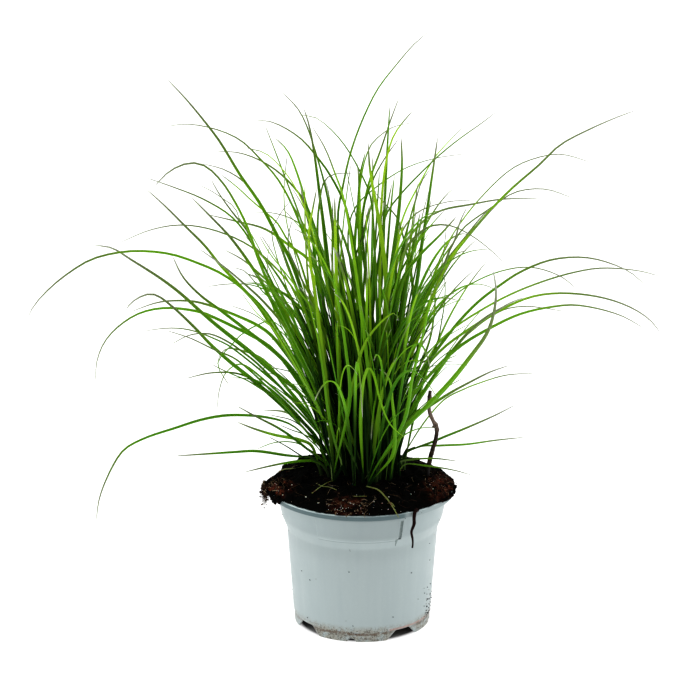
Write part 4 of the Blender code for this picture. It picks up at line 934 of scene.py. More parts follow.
# %% Crumbs
crumb = new_finish("peat_crumb", Specular_IOR_Level=0.04)
tone = ramp(kept("tint"), (0.0, (0.0006, 0.0006, 0.0004)), (0.78, (0.002, 0.0015, 0.001)),
            (0.95, (0.03, 0.012, 0.006)), (1.0, (0.3, 0.2, 0.12)))
tone = over(tone, (0.001, 0.0009, 0.0006), noise(900.0), 0.7)
dress(tone, between(noise(700.0), 0.3, 0.7, 0.8, 0.95), noise(1500.0), 0.12 * MM)
crumb_tints = random.uniform(0, 0.97, len(crumb_places))
crumb_tints[:HANGING_CRUMBS] = random.uniform(0.9, 1, HANGING_CRUMBS)
crumb_lumps = lumps(random, crumb_places, crumb_sizes)
hand_over(put_mesh("peat_crumbs", *crumb_lumps, crumb, values={"tint": per_lump(crumb_tints)}), "peat")

# %% White grains of perlite
GRAIN_PIXELS = [(306, 497), (292, 485), (411, 494), (318, 503), (343, 500), (389, 497), (433, 489),
                (283, 495)]
GRAIN_COUNT = 26
GRAIN_SIZES = (0.25, 0.55)
FOLLOWED_GRAIN_SIZE = 0.75 * MM
# Where pale bits lie close together: the picture's columns and rows, and how many
PALE_PATCHES = [((326, 364), (502, 516), 26), ((366, 402), (500, 512), 9), ((262, 280), (478, 494), 14)]
FIBRE_PATCHES = [((326, 366), (500, 516), 42), ((262, 284), (476, 494), 34), ((424, 452), (472, 494), 14)]


def patched(random, patches):
    """Places on the bed that the viewer sees at random pixels in patches of the picture."""
    pixels = [(random.uniform(*columns, count), random.uniform(*rows, count))
              for columns, rows, count in patches]
    return seen_on(bed_tree, np.hstack(pixels).T)


pale_places = patched(random, PALE_PATCHES)
lying = met(falling(bed_tree, scattered(random, GRAIN_COUNT)))
grain_places = np.vstack((lying, pale_places, seen_on(bed_tree, GRAIN_PIXELS)))
grain_sizes = random.uniform(*GRAIN_SIZES, len(grain_places)) * MM
grain_sizes[-len(GRAIN_PIXELS):] = FOLLOWED_GRAIN_SIZE
perlite = new_finish("white_perlite", Subsurface_Weight=0.2, Subsurface_Scale=0.5 * MM)
dirt = between(noise(800.0), 0.45, 0.7)
tone = mix(dirt, (0.75, 0.72, 0.65), (0.21, 0.17, 0.12))
dress(tone, between(dirt, 0, 1, 0.8, 0.95), noise(2500.0), 0.1 * MM)
hand_over(put_mesh("perlite_grains", *lumps(random, grain_places, grain_sizes, 0.9), perlite), "peat")

# %% The shape of fibres
FIBRE_SIDES = 4


def strands(paths, radii):
    """Thin closed tubes along several paths of equal count: rings of a few sides, square to each path and
    thinned to almost nothing at both ends."""
    ways = unit(np.gradient(paths, axis=1))
    across = unit(np.cross(ways, UP) + (1e-6, 0, 0))
    above = np.cross(across, ways)
    turn = np.arange(FIBRE_SIDES) * 2 * np.pi / FIBRE_SIDES
    taper = np.sin(np.linspace(0.12, 1, paths.shape[1]) * np.pi * 0.97) ** 0.4
    ring = np.cos(turn)[:, None] * across[:, :, None] + np.sin(turn)[:, None] * above[:, :, None]
    return paths[:, :, None] + ring * (np.asarray(radii)[:, None] * taper)[:, :, None, None]


def blade_mesh(rings):
    """Points and faces of several blades or fibres, given as an array of pieces, rings and ring points. Each
    is closed at both ends."""
    count, rows, columns = rings.shape[:3]
    ends = np.array([np.arange(columns)[::-1], (rows - 1) * columns + np.arange(columns)])
    stride = rows * columns
    return rings.reshape(-1, 3), [many(ring_faces(rows, columns), count, stride), many(ends, count, stride)]


# %% The paths of fibres
def wandering(random, count, lengths, bend=0.9):
    """Level paths that start over the bed and turn as they go: each step's direction is the last one's plus
    a steady turn and a little chance."""
    start = scattered(random, count, 0.93)
    steady = random.normal(0, bend, (count, 1)) / FIBRE_ROWS
    turn = random.uniform(0, 2 * np.pi, (count, 1)) + np.cumsum(
        steady + random.normal(0, 0.16, (count, FIBRE_ROWS)), axis=1)
    step = random.uniform(*lengths, (count, 1, 1)) / FIBRE_ROWS
    return start[:, None] + np.cumsum(np.stack((np.cos(turn), np.sin(turn)), axis=-1) * step, axis=1)


def laid_on(surface, level, lift):
    """Paths laid on a surface: every point takes the height of what is under it, smoothed along the path so
    that a stiff fibre spans the hollows."""
    hits = falling(surface, level.reshape(-1, 2))
    z = np.array([POT_HEIGHT if hit is None else hit[2] for hit in hits]).reshape(level.shape[:2])
    for _ in range(2):
        z[:, 1:-1] = np.maximum(z[:, 1:-1], (z[:, :-2] + 2 * z[:, 1:-1] + z[:, 2:]) / 4)
    return np.dstack((level, z + lift))


# %% Fibres
FIBRE_COUNT = 240
FUZZ_COUNT = 420
FUZZ_RUST = 0.35
laid_paths = laid_on(bed_tree, wandering(random, FIBRE_COUNT, (5 * MM, 17 * MM)), 0.15 * MM)
fuzzy = bed_points[rust(bed_points) > FUZZ_RUST]
fuzz_foot = fuzzy[random.integers(0, len(fuzzy), FUZZ_COUNT)]
fuzz_way = unit(random.normal(0, 1, (FUZZ_COUNT, 1, 3)) + 0.5 * UP)
fuzz_way = fuzz_way * random.uniform(2, 6, (FUZZ_COUNT, 1, 1)) * MM
fuzz = fuzz_foot[:, None] + (hang - 0.1) * fuzz_way + curl(random, FUZZ_COUNT, 0.7)
fibre_paths = np.vstack((laid_paths, root_paths, fuzz))
patch_foot = patched(random, FIBRE_PATCHES)
patch_count = len(patch_foot)
patch_way = unit(random.normal(0, 1, (patch_count, 1, 3)) * (1, 1, 0.4))
patch_way = patch_way * random.uniform(2, 7, (patch_count, 1, 1)) * MM
fibre_radii = random.uniform(0.07, 0.16, len(fibre_paths)) * MM
patch = patch_foot[:, None] + (hang - 0.3) * patch_way + curl(random, patch_count, 0.8) + 0.5 * MM * UP
fibre_paths = np.vstack((fibre_paths, patch))
fibre_radii = np.concatenate((fibre_radii, random.uniform(0.12, 0.22, patch_count) * MM))
strand = new_finish("root_fibre", Specular_IOR_Level=0.3)
tone = ramp(kept("tint"), (0.0, (0.018, 0.0075, 0.0045)), (0.5, (0.075, 0.03, 0.013)),
            (0.8, (0.24, 0.14, 0.068)), (1.0, (0.57, 0.45, 0.29)))
tone = over(tone, (0.03, 0.017, 0.009), noise(500.0), 0.6)
dress(tone, between(noise(900.0), 0.3, 0.7, 0.7, 0.9))
tints = random.uniform(0, 1, len(fibre_paths)) ** 2.2
tints[-patch_count:] = random.uniform(0.7, 1, patch_count)
tints = np.repeat(tints, FIBRE_ROWS * FIBRE_SIDES)
fibre_mesh = blade_mesh(strands(fibre_paths, fibre_radii))
hand_over(put_mesh("peat_fibres", *fibre_mesh, strand, values={"tint": tints}), "root")

# %% [markdown]
# ### Soil on the pot
# Potting leaves specks of soil on the outside of the pot. Each is a small flat lump that sticks to the wall
# where the viewer's line of sight meets it, and a few more are scattered round the sides and the back.

# %% Specks of soil
SPECK_PIXELS = [(427, 599), (424, 606), (430, 611), (426, 617), (431, 622), (425, 628), (349, 572),
                (310, 580), (289, 577), (316, 579), (393, 617), (346, 621), (353, 626), (418, 599),
                (332, 633), (338, 635), (371, 634), (366, 636), (356, 634), (318, 631)]
FIRST_SPECK_SIZE = 1.1 * MM
BACK_SPECKS = 46
SIDE_SPECKS = 34
# Larger dark marks beside the tag slot and on the rim, each with its size
MARKS = [((405.3, 518.5), 1.2 * MM), ((421.6, 512.6), 1.1 * MM)]
pot_tree = tree_of_mesh(pot.data)
speck_places = seen_on(pot_tree, SPECK_PIXELS + [pixel for pixel, _ in MARKS])
speck_turns = random.uniform(40, 320, BACK_SPECKS)
speck_heights = 12 * MM + random.uniform(0, 1, BACK_SPECKS) ** 2 * 100 * MM
speck_turns = np.concatenate((speck_turns, random.uniform(62, 84, SIDE_SPECKS)))
side_heights = np.maximum(random.triangular(3, 8, 42, SIDE_SPECKS) * MM, FLOOR_TOP)
speck_heights = np.concatenate((speck_heights, side_heights))
more_specks = heading(speck_turns) * wall_radius(speck_heights)[:, None] + UP * speck_heights[:, None]
speck_places = np.vstack((speck_places, more_specks))
speck_sizes = random.uniform(0.3, 0.65, len(speck_places)) * MM
speck_sizes[0] = FIRST_SPECK_SIZE
speck_sizes[-SIDE_SPECKS:] *= 1.2
speck_sizes[len(SPECK_PIXELS):len(SPECK_PIXELS) + len(MARKS)] = [size for _, size in MARKS]
speck_lumps = lumps(random, speck_places, speck_sizes, 0.8)
tints = per_lump(random.uniform(0, 0.9, len(speck_places)))
hand_over(put_mesh("soil_specks", *speck_lumps, crumb, values={"tint": tints}), "peat")

# %% [markdown]
# ## Lines of sight and curves
# What the photo shows of a blade is the row of pixels that it passes. A pixel is a line of sight, and a
# place along Y on that line makes it a point in space. A smooth curve through such points is the blade's
# route, and whatever depth is chosen for it, the viewer sees it where the photo has it.

# %% From pixels to curves
CROWN_PIXEL = np.array((361.0, 472.0))
REACH_SIDE = 288 * MM
REACH_FRONT = 262 * MM


def seen(pixels, depths):
    """The points that the viewer sees at these pixels, at these places along Y."""
    rays = sight(pixels)
    return EYE + rays * ((np.asarray(depths) - EYE[1]) / rays[:, 1])[:, None]


def pixel_of(points):
    """Where the viewer sees these points: their offsets from the view's middle, over their distance."""
    away = np.atleast_2d(points) - EYE
    forward, down = math.cos(EYE_TILT), math.sin(EYE_TILT)
    depth = away[:, 1] * forward - away[:, 2] * down
    height = away[:, 1] * down + away[:, 2] * forward
    return FRAME_MIDDLE + FOCAL_PIXELS * np.column_stack((away[:, 0], -height)) / depth[:, None]


def depth_where(pixel, side):
    """The place along Y at which the view through a pixel is at this X."""
    near, far = seen([pixel, pixel], [-0.5, 0.5])
    return -0.5 + (side - near[0]) / (far[0] - near[0])


# %% Smooth and even curves
def smooth(points, start=None, steps=10):
    """A centripetal Catmull-Rom curve: between two points it is the cubic that has their places and their
    tangents, and a tangent is the weighted mean of the slopes before and after its point."""
    points = np.asarray(points, float)
    gaps = np.sqrt(np.linalg.norm(np.diff(points, axis=0), axis=1))
    slopes = np.diff(points, axis=0) / gaps[:, None]
    tangents = np.empty_like(points)
    weight = (gaps[:-1] / (gaps[:-1] + gaps[1:]))[:, None]
    tangents[1:-1] = slopes[:-1] * (1 - weight) + slopes[1:] * weight
    tangents[0] = slopes[0] if start is None else start * np.linalg.norm(slopes[0])
    tangents[-1] = slopes[-1]
    t = np.linspace(0, 1, steps, endpoint=False)[None, :, None]
    a, b = points[:-1, None], points[1:, None]
    ta, tb = (tangents[:-1] * gaps[:, None])[:, None], (tangents[1:] * gaps[:, None])[:, None]
    curve = ((1 + 2 * t) * (1 - t) ** 2 * a + t * (1 - t) ** 2 * ta
             + t * t * (3 - 2 * t) * b + t * t * (t - 1) * tb)
    return np.vstack((curve.reshape(-1, 3), points[-1:]))


def spaced(curve, count):
    """The curve at this many points, even along its length and the ends kept."""
    along = np.concatenate(([0], np.cumsum(np.linalg.norm(np.diff(curve, axis=0), axis=1))))
    places = np.linspace(0, along[-1], count)
    return np.column_stack([np.interp(places, along, curve[:, k]) for k in range(3)])


# %% [markdown]
# ## A blade of grass
# A blade is a long thin leaf, folded along its middle like a shallow V, which makes it stiff and gives it a
# light half and a dark half. Each ring of the mesh has five points on top and three below. The rings stand
# square to the route, turned about it by the angle at which the viewer sees the leaf's face. The width
# rises from the sheath, is greatest a third of the way up and runs out in a long thin tip.

# %% Sizes for a blade
KEEL_SHARE = 0.26
START_WIDTH_SHARE = 0.62
WIDEST_AT = 0.28
TIP_FALL = 0.62
LEAF_FALL = 0.56
LEAF_FOLD = 0.36
TIP_WIDTH = 0.25 * MM
LEAF_TIP = 0.55 * MM
TURNED_AT = 0.45
LEAF_THICKNESS = 0.32 * MM
BLADE_ROWS = 44
ACROSS = np.array((-1.0, -0.52, 0.0, 0.52, 1.0, 0.5, 0.0, -0.5))
UNDER = np.array((0, 0, 0, 0, 0, 1.0, 1.0, 1.0))


# %% The rings of a blade
def blade_width(share, width, tip_fall=TIP_FALL, tip_width=TIP_WIDTH):
    """A blade's width along it: a quarter sine wave up to the widest place, then a power of what is left."""
    rise = START_WIDTH_SHARE + (1 - START_WIDTH_SHARE) * np.sin(np.pi / 2 * np.minimum(share / WIDEST_AT, 1))
    fall = np.clip((1 - share) / (1 - WIDEST_AT), 0, 1) ** tip_fall
    return width * rise * fall + tip_width


def blade_sides(spine, turn):
    """The directions across a blade and out of its face: level and square to the route at the foot, and
    turned about the route by the angle that is reached at TURNED_AT of the length."""
    ways = unit(np.gradient(spine, axis=0))
    level = unit(np.cross((spine[-1] - spine[0]) * (1, 1, 0), UP))
    across = unit(level - (ways @ level)[:, None] * ways)
    above = np.cross(across, ways)
    share = np.linspace(0, 1, len(spine))
    angle = np.radians(turn * np.minimum(share / TURNED_AT, 1))[:, None]
    return np.cos(angle) * across + np.sin(angle) * above, np.cos(angle) * above - np.sin(angle) * across


def blade_rings(curve, width, turn, rows=BLADE_ROWS):
    """The rings of a blade. Across it each point stands at its share of the half width, and lies lower than
    the edges by the fold's depth times one less a power of that share. The three points of the underside lie
    lower still, by the leaf's thickness, which follows the width."""
    spine = spaced(curve, rows)
    side, face = blade_sides(spine, turn)
    full = blade_width(np.linspace(0, 1, rows), width, LEAF_FALL, LEAF_TIP)[:, None]
    full[-1] = TIP_WIDTH / 4
    sink = full * LEAF_FOLD * (1 - np.abs(ACROSS) ** 1.2)
    sink = sink + UNDER * LEAF_THICKNESS * np.minimum(full / full.max() * 1.3, 1)
    return spine[:, None] + side[:, None] * (ACROSS * full / 2)[..., None] - face[:, None] * sink[..., None]


# %% [markdown]
# ## The twig, the root fibre and the yellow blade
# Three single things lie on the peat: a thin brown twig with a joint and a spur, a dark root that hangs
# over the rim, and a dying blade. The first two are tubes along their routes, with rings of uneven radius
# for bark, and the third is a blade like the others, lying flat.

# %% Sizes for the twig, the root fibre and the yellow blade
TWIG_PIXELS = [(427.5, 473), (428, 468), (431, 455.5), (434, 445), (436, 438), (436.9, 431), (436.4, 427),
               (434, 422.5), (431.3, 416.5), (429.2, 410), (428.8, 403), (429.5, 398), (430.4, 391)]
TWIG_DEPTH = -8 * MM
TWIG_RADII = (2.1 * MM, 1.6 * MM)
TWIG_SPUR_PIXELS = [(436.4, 428), (434.2, 427.3), (432, 426.6)]
TWIG_SPUR_RADII = (1.0 * MM, 0.85 * MM)
TWIG_JOINTS = (0.54, 0.6, 0.84, 0.93)
ROOT_ROUTE = [(48.8, -67.0, 129.6), (47.6, -71.2, 130.6), (46.8, -74.0, 129.8), (46.2, -75.3, 126),
              (45.9, -75.2, 119), (43.8, -75.2, 112), (44.8, -74.6, 105.5), (45.2, -73.8, 100.5),
              (44.8, -73.4, 96)]
ROOT_RADII = (2.0 * MM, 0.7 * MM)
LAID_PIXELS = [(366, 486), (377, 489), (384, 495), (390, 502.5), (394.4, 509.5), (399, 518)]
LAID_DEPTHS = [-46, -53, -63, -73, -80, -84]
LAID_WIDTH = 2.2 * MM
LAID_TURN = 15
LAID_SEEN_SHARE = 0.75


# %% Tubes along a route
def directions_round(route, sides, facing, flat=1.0):
    """Directions round a route, square to it at each of its points: the cosine of a turn along one side and
    the sine along the other, which may be made flatter."""
    ways = unit(np.gradient(route, axis=0))
    across = unit(np.cross(ways, heading(facing)))
    turn = np.arange(sides) * 2 * np.pi / sides
    other = flat * np.sin(turn)[:, None] * np.cross(ways, across)[:, None]
    return np.cos(turn)[:, None] * across[:, None] + other


def rod(curve, radii, rows=70, sides=14, joints=(), unevenness=0.12):
    """A closed tube whose radius runs from the first to the last value, swells at its joints, and is uneven
    by noise that is drawn out along it."""
    spine = spaced(curve, rows)
    share = np.linspace(0, 1, rows)
    radius = radii[0] + (radii[1] - radii[0]) * share
    for joint in joints:
        radius = radius * (1 + 0.35 * np.exp(-(((share - joint) / 0.018) ** 2)))
    ring = directions_round(spine, sides, 0)
    stretched = ring * 1.5 * MM + (spine * 0.25)[:, None]
    radius = radius[:, None] * (1 + unevenness * clouds(stretched, 1.2 * MM, 3))
    rings = spine[:, None] + ring * radius[..., None]
    return closed_rings(rings, spine[0], spine[-1])


# %% Curves at one depth
def at_depth(pixels, depth):
    """A smooth curve that the viewer sees at these pixels, all of it at one place along Y."""
    return smooth(seen(pixels, np.full(len(pixels), depth)))


# %% The twig
bark = new_finish("brown_bark", Specular_IOR_Level=0.3)
strip = node("Mapping", {"Vector": place, "Scale": (700.0, 700.0, 260.0)}).outputs["Vector"]
grain = noise(1.0, 4.0, 0.65, strip)
tone = ramp(grain, (0.3, (0.009, 0.0045, 0.003)), (0.55, (0.033, 0.017, 0.009)), (0.8, (0.14, 0.075, 0.045)))
dried = ramp(grain, (0.3, (0.045, 0.03, 0.022)), (0.55, (0.2, 0.14, 0.11)), (0.8, (0.45, 0.36, 0.3)))
altitude = axis("Z")
below_tip = between(altitude, 203 * MM, 214 * MM, 1.0, 0.25)
tone = over(tone, dried, between(altitude, 180 * MM, 195 * MM), below_tip)
tone = over(tone, (0.003, 0.002, 0.0015), between(altitude, 147 * MM, 155 * MM, 0.95, 0.0))
dress(tone, between(grain, 0.3, 0.8, 0.6, 0.9), grain, 0.3 * MM)
stem = at_depth(TWIG_PIXELS, TWIG_DEPTH)
stem = np.vstack((stem[:1] - 3 * MM * UP, stem))
spur = at_depth(TWIG_SPUR_PIXELS, TWIG_DEPTH)
twig = put_mesh("twig_bark", *together(rod(stem, TWIG_RADII, joints=TWIG_JOINTS, unevenness=0.2),
                                       rod(spur, TWIG_SPUR_RADII, 24, 10)), bark)
hand_over(twig, "twig", "twig")

# %% The root fibre
dark_root = new_finish("dark_root", Specular_IOR_Level=0.08)
grain = noise(900.0, 4.0, 0.65)
tone = ramp(grain, (0.3, (0.003, 0.0008, 0.0006)), (0.6, (0.013, 0.0035, 0.003)),
            (0.85, (0.055, 0.018, 0.012)))
dress(tone, between(grain, 0.3, 0.8, 0.7, 0.92), grain, 0.2 * MM)
root = rod(smooth(np.array(ROOT_ROUTE) * MM), ROOT_RADII, unevenness=0.2)
hand_over(put_mesh("root_strand", *root, dark_root), "root", "root_fibre")

# %% The yellow blade
straw = new_finish("yellow_straw", Subsurface_Weight=0.1, Subsurface_Scale=0.5 * MM)
streak = noise(1.0, where=vector(times(kept("across"), 4.0), times(kept("along"), 9.0)))
tone = ramp(streak, (0.3, (0.075, 0.098, 0.018)), (0.55, (0.22, 0.26, 0.06)), (0.8, (0.51, 0.49, 0.2)))
tone = over(tone, (0.14, 0.068, 0.03), between(kept("spot"), 0.3, 0.7), 0.85)
dress(tone, between(streak, 0.3, 0.8, 0.5, 0.75), streak, 0.08 * MM)


def laid_blade(name, curve, width, turn, spot_at, *replaced):
    """A dying blade on its own, with one brown spot, a bell curve round a share of its length."""
    rings = blade_rings(curve, width, turn)
    along = np.repeat(np.linspace(0, 1, BLADE_ROWS), len(ACROSS))
    spot = np.exp(-(((along - spot_at) / 0.06) ** 2))
    values = {"along": along, "across": np.tile(ACROSS, BLADE_ROWS), "spot": spot}
    hand_over(put_mesh(name, *blade_mesh(rings[None]), straw, 55, values), "straw", *replaced)


laid_curve = smooth(seen(LAID_PIXELS, np.array(LAID_DEPTHS) * MM))
laid_blade("yellow_blade", laid_curve, LAID_WIDTH * LAID_SEEN_SHARE, LAID_TURN, 0.68, "laid_blade")

# %% Bits of straw and old leaf on the peat
# Each bit's pixels and its width in millimetres
STRAW_BITS = {
    "straw_left": ([(278, 473), (284, 470), (293, 469), (304, 467)], 1.9),
    "straw_front": ([(352, 497), (358, 497), (367, 497)], 0.5),
    "straw_middle": ([(312, 494), (320, 488), (328, 483), (335, 481)], 0.45),
    "straw_high": ([(316, 484), (323, 487), (330, 488), (337, 491)], 0.4),
    "straw_low": ([(387, 504), (391, 503.5), (395, 508)], 0.6),
}
STRAW_LIFT = 0.9
STRAW_TURN = 5
STRAW_SPOT_AT = 0.1


def on_bed(pixels):
    """A curve over the bed where the viewer sees these pixels, lifted by a hair."""
    return smooth(seen_on(bed_tree, pixels) + UP * STRAW_LIFT * MM)


for name, (pixels, width) in STRAW_BITS.items():
    laid_blade(name, on_bed(pixels), width * MM, STRAW_TURN, STRAW_SPOT_AT)

# %% [markdown]
# ## Where the blades go
# A clump is many shoots side by side, each a short sheath with two or three blades that lean the same way.
# The blades that can be followed in the photo are read from the clump to the tip. The rest can't be
# seen one by one, so they are arches drawn at random. The solids were placed by the same rules and the same
# draws, so that each blade here lies in its solid.

# %% The blades that can be followed
def pairs(numbers):
    """Pixels, given as their columns and rows in turn."""
    return np.array(numbers, float).reshape(-1, 2)


def blade(depth, width, turn, *numbers):
    """One followed blade. A tip with no place of its own along Y is at the clump's full reach to its side."""
    return {"depth": depth and depth * MM, "width": width * MM, "turn": turn, "pixels": pairs(numbers)}


# %% Shoots at the left
# The shoots whose blades the viewer can follow. Each row is one blade: its tip's place along Y and its
# width in millimetres, how far its face is turned about its length in degrees, and the columns and rows of
# the pixels that it passes from the clump to its tip
LEFT_SHOOTS = [
    [(None, 3.6, 40, 270, 318, 240, 287, 220, 273, 200, 264, 170, 254, 135, 251, 110, 254, 90, 260, 70, 272,
      50, 288, 33, 307, 27, 320),
     (-10, 2.4, 30, 300, 300, 270, 262, 245, 243, 210, 229, 180, 225, 150, 230, 117, 244)],
    [(-90, 4.8, 58, 300, 395, 290, 385, 270, 370, 250, 352, 230, 336, 215, 324, 200, 311, 180, 293, 160,
      278, 130, 259, 112, 248, 92, 245),
     (-60, 2.6, 35, 240, 362, 215, 350, 190, 338, 165, 330)],
    [(-40, 4.6, 50, 310, 435, 290, 414, 270, 395, 250, 378, 230, 362, 210, 344, 195, 328, 175, 309, 158,
      296, 150, 294, 140, 297, 130, 304, 125, 312),
     (-25, 3.2, 30, 272, 390, 250, 378, 235, 373, 210, 373, 184, 379)],
    [(60, 3.8, 35, 275, 352, 250, 335, 240, 330, 215, 318, 200, 312, 165, 308, 140, 313, 120, 325, 105, 341,
      97, 360, 95, 385),
     (35, 2.6, 40, 262, 368, 240, 350, 230, 343, 210, 334, 190, 335, 170, 345)],
    [(95, 3.6, 45, 275, 340, 260, 327, 235, 315, 205, 304, 190, 301, 160, 302, 130, 312),
     (70, 2.2, 30, 235, 350, 215, 339, 190, 330, 170, 328, 143, 331)],
    [(115, 3.4, 30, 280, 380, 262, 359, 240, 350, 226, 349, 219, 356, 218, 366),
     (80, 2.6, 20, 262, 378, 240, 364, 226, 372, 219, 390, 217, 410)],
    [(-70, 3.6, 45, 320, 450, 310, 440, 290, 424, 265, 417, 235, 415, 220, 416, 200, 420, 175, 428, 145,
      438, 126, 448, 118, 457, 106, 480, 99, 500, 96, 523),
     (-45, 3.8, 55, 305, 447, 280, 429, 255, 416, 237, 406)],
    [(-15, 3.4, 35, 312, 458, 295, 456, 285, 455, 255, 451, 235, 452, 205, 454, 175, 456),
     (70, 3.4, 45, 312, 446, 300, 440, 275, 435, 255, 429, 237, 422)],
    [(60, 4.0, 50, 292, 265, 278, 238, 260, 204, 240, 175, 220, 142, 205, 122, 185, 98, 165, 77),
     (30, 3.0, 35, 262, 262, 235, 220, 205, 200, 173, 187, 144, 177)],
    [(120, 2.6, 25, 305, 240, 280, 183, 260, 159, 240, 140, 215, 129, 185, 124, 160, 128),
     (100, 2.6, 40, 290, 270, 264, 210, 245, 183, 225, 170, 200, 163)],
    [(150, 3.0, 30, 318, 240, 303, 200, 285, 178, 265, 163, 240, 153, 212, 151),
     (160, 3.6, 45, 325, 290, 310, 261, 290, 246, 265, 229, 235, 221, 205, 214)],
    [(-110, 3.0, 40, 315, 240, 297, 190, 280, 166, 265, 153, 242, 147),
     (-30, 3.8, 55, 265, 275, 253, 245, 248, 232, 233, 213, 218, 192, 210, 177)],
    [(-60, 4.2, 50, 262, 270, 250, 235, 245, 222, 236, 204, 222, 182, 205, 166, 190, 163, 170, 171, 152,
      189),
     (10, 4.4, 60, 266, 290, 250, 264, 230, 237, 210, 216, 190, 196)],
    [(-100, 4.8, 60, 262, 312, 240, 286, 220, 265, 205, 246, 185, 226, 165, 206, 145, 188),
     (-120, 4.4, 55, 290, 335, 265, 303, 240, 280, 222, 265, 198, 248)],
    [(20, 4.4, 50, 300, 382, 280, 357, 250, 333, 220, 310, 200, 295, 183, 277, 172, 255),
     (130, 3.0, 40, 285, 300, 262, 276, 243, 260, 223, 249)],
    [(-60, 2.8, 30, 318, 462, 300, 461, 285, 463, 270, 466, 245, 472),
     (100, 3.0, 40, 318, 440, 300, 420, 285, 412, 262, 410)],
]
print(len(LEFT_SHOOTS), "shoots at the left")

# %% Shoots at the top
TOP_SHOOTS = [
    [(95, 3.8, 20, 346, 210, 340, 194, 328, 172, 317, 157, 300, 138, 272, 122, 252, 120),
     (-70, 4.4, 50, 318, 270, 300, 215, 285, 176, 275, 150, 264, 122)],
    [(190, 4.0, 10, 318, 245, 308, 212, 305, 200, 297, 173, 287, 150, 273, 136),
     (130, 2.4, 20, 332, 220, 318, 160, 300, 112, 280, 90)],
    [(40, 4.6, 30, 326, 250, 320, 200, 318, 182, 314, 152, 309, 125, 303, 106),
     (-40, 4.0, 20, 318, 240, 320, 200, 325, 180, 334, 174, 358, 173)],
    [(-120, 3.6, 15, 374, 240, 370, 195, 362, 175, 347, 148, 332, 130, 315, 117, 296, 115),
     (-170, 3.6, 10, 350, 230, 342, 192, 336, 176, 325, 148, 310, 123)],
    [(30, 3.6, 35, 337, 215, 342, 187, 348, 160, 356, 135, 366, 111, 378, 88, 395, 66, 415, 43, 431, 30),
     (150, 4.0, 10, 355, 245, 358, 205, 360, 175, 366, 150)],
    [(-150, 5.2, 5, 386, 300, 383, 250, 377, 210, 370, 170, 368, 140),
     (60, 2.6, 20, 360, 190, 369, 149, 376, 139, 395, 126, 418, 122)],
    [(10, 4.0, 25, 382, 260, 384, 215, 386, 175, 388, 135, 390, 104),
     (170, 3.6, 15, 362, 225, 370, 180, 380, 152, 390, 122, 400, 95)],
    [(-30, 3.0, 30, 382, 190, 390, 145, 397, 130, 415, 108),
     (-85, 5.0, 15, 388, 300, 394, 250, 399, 210, 402, 165, 401, 135)],
    [(120, 3.0, 25, 362, 220, 372, 182, 385, 158, 400, 137),
     (100, 2.4, 20, 348, 240, 355, 208, 376, 187, 405, 168, 435, 158, 470, 153)],
]
print(len(TOP_SHOOTS), "shoots at the top")

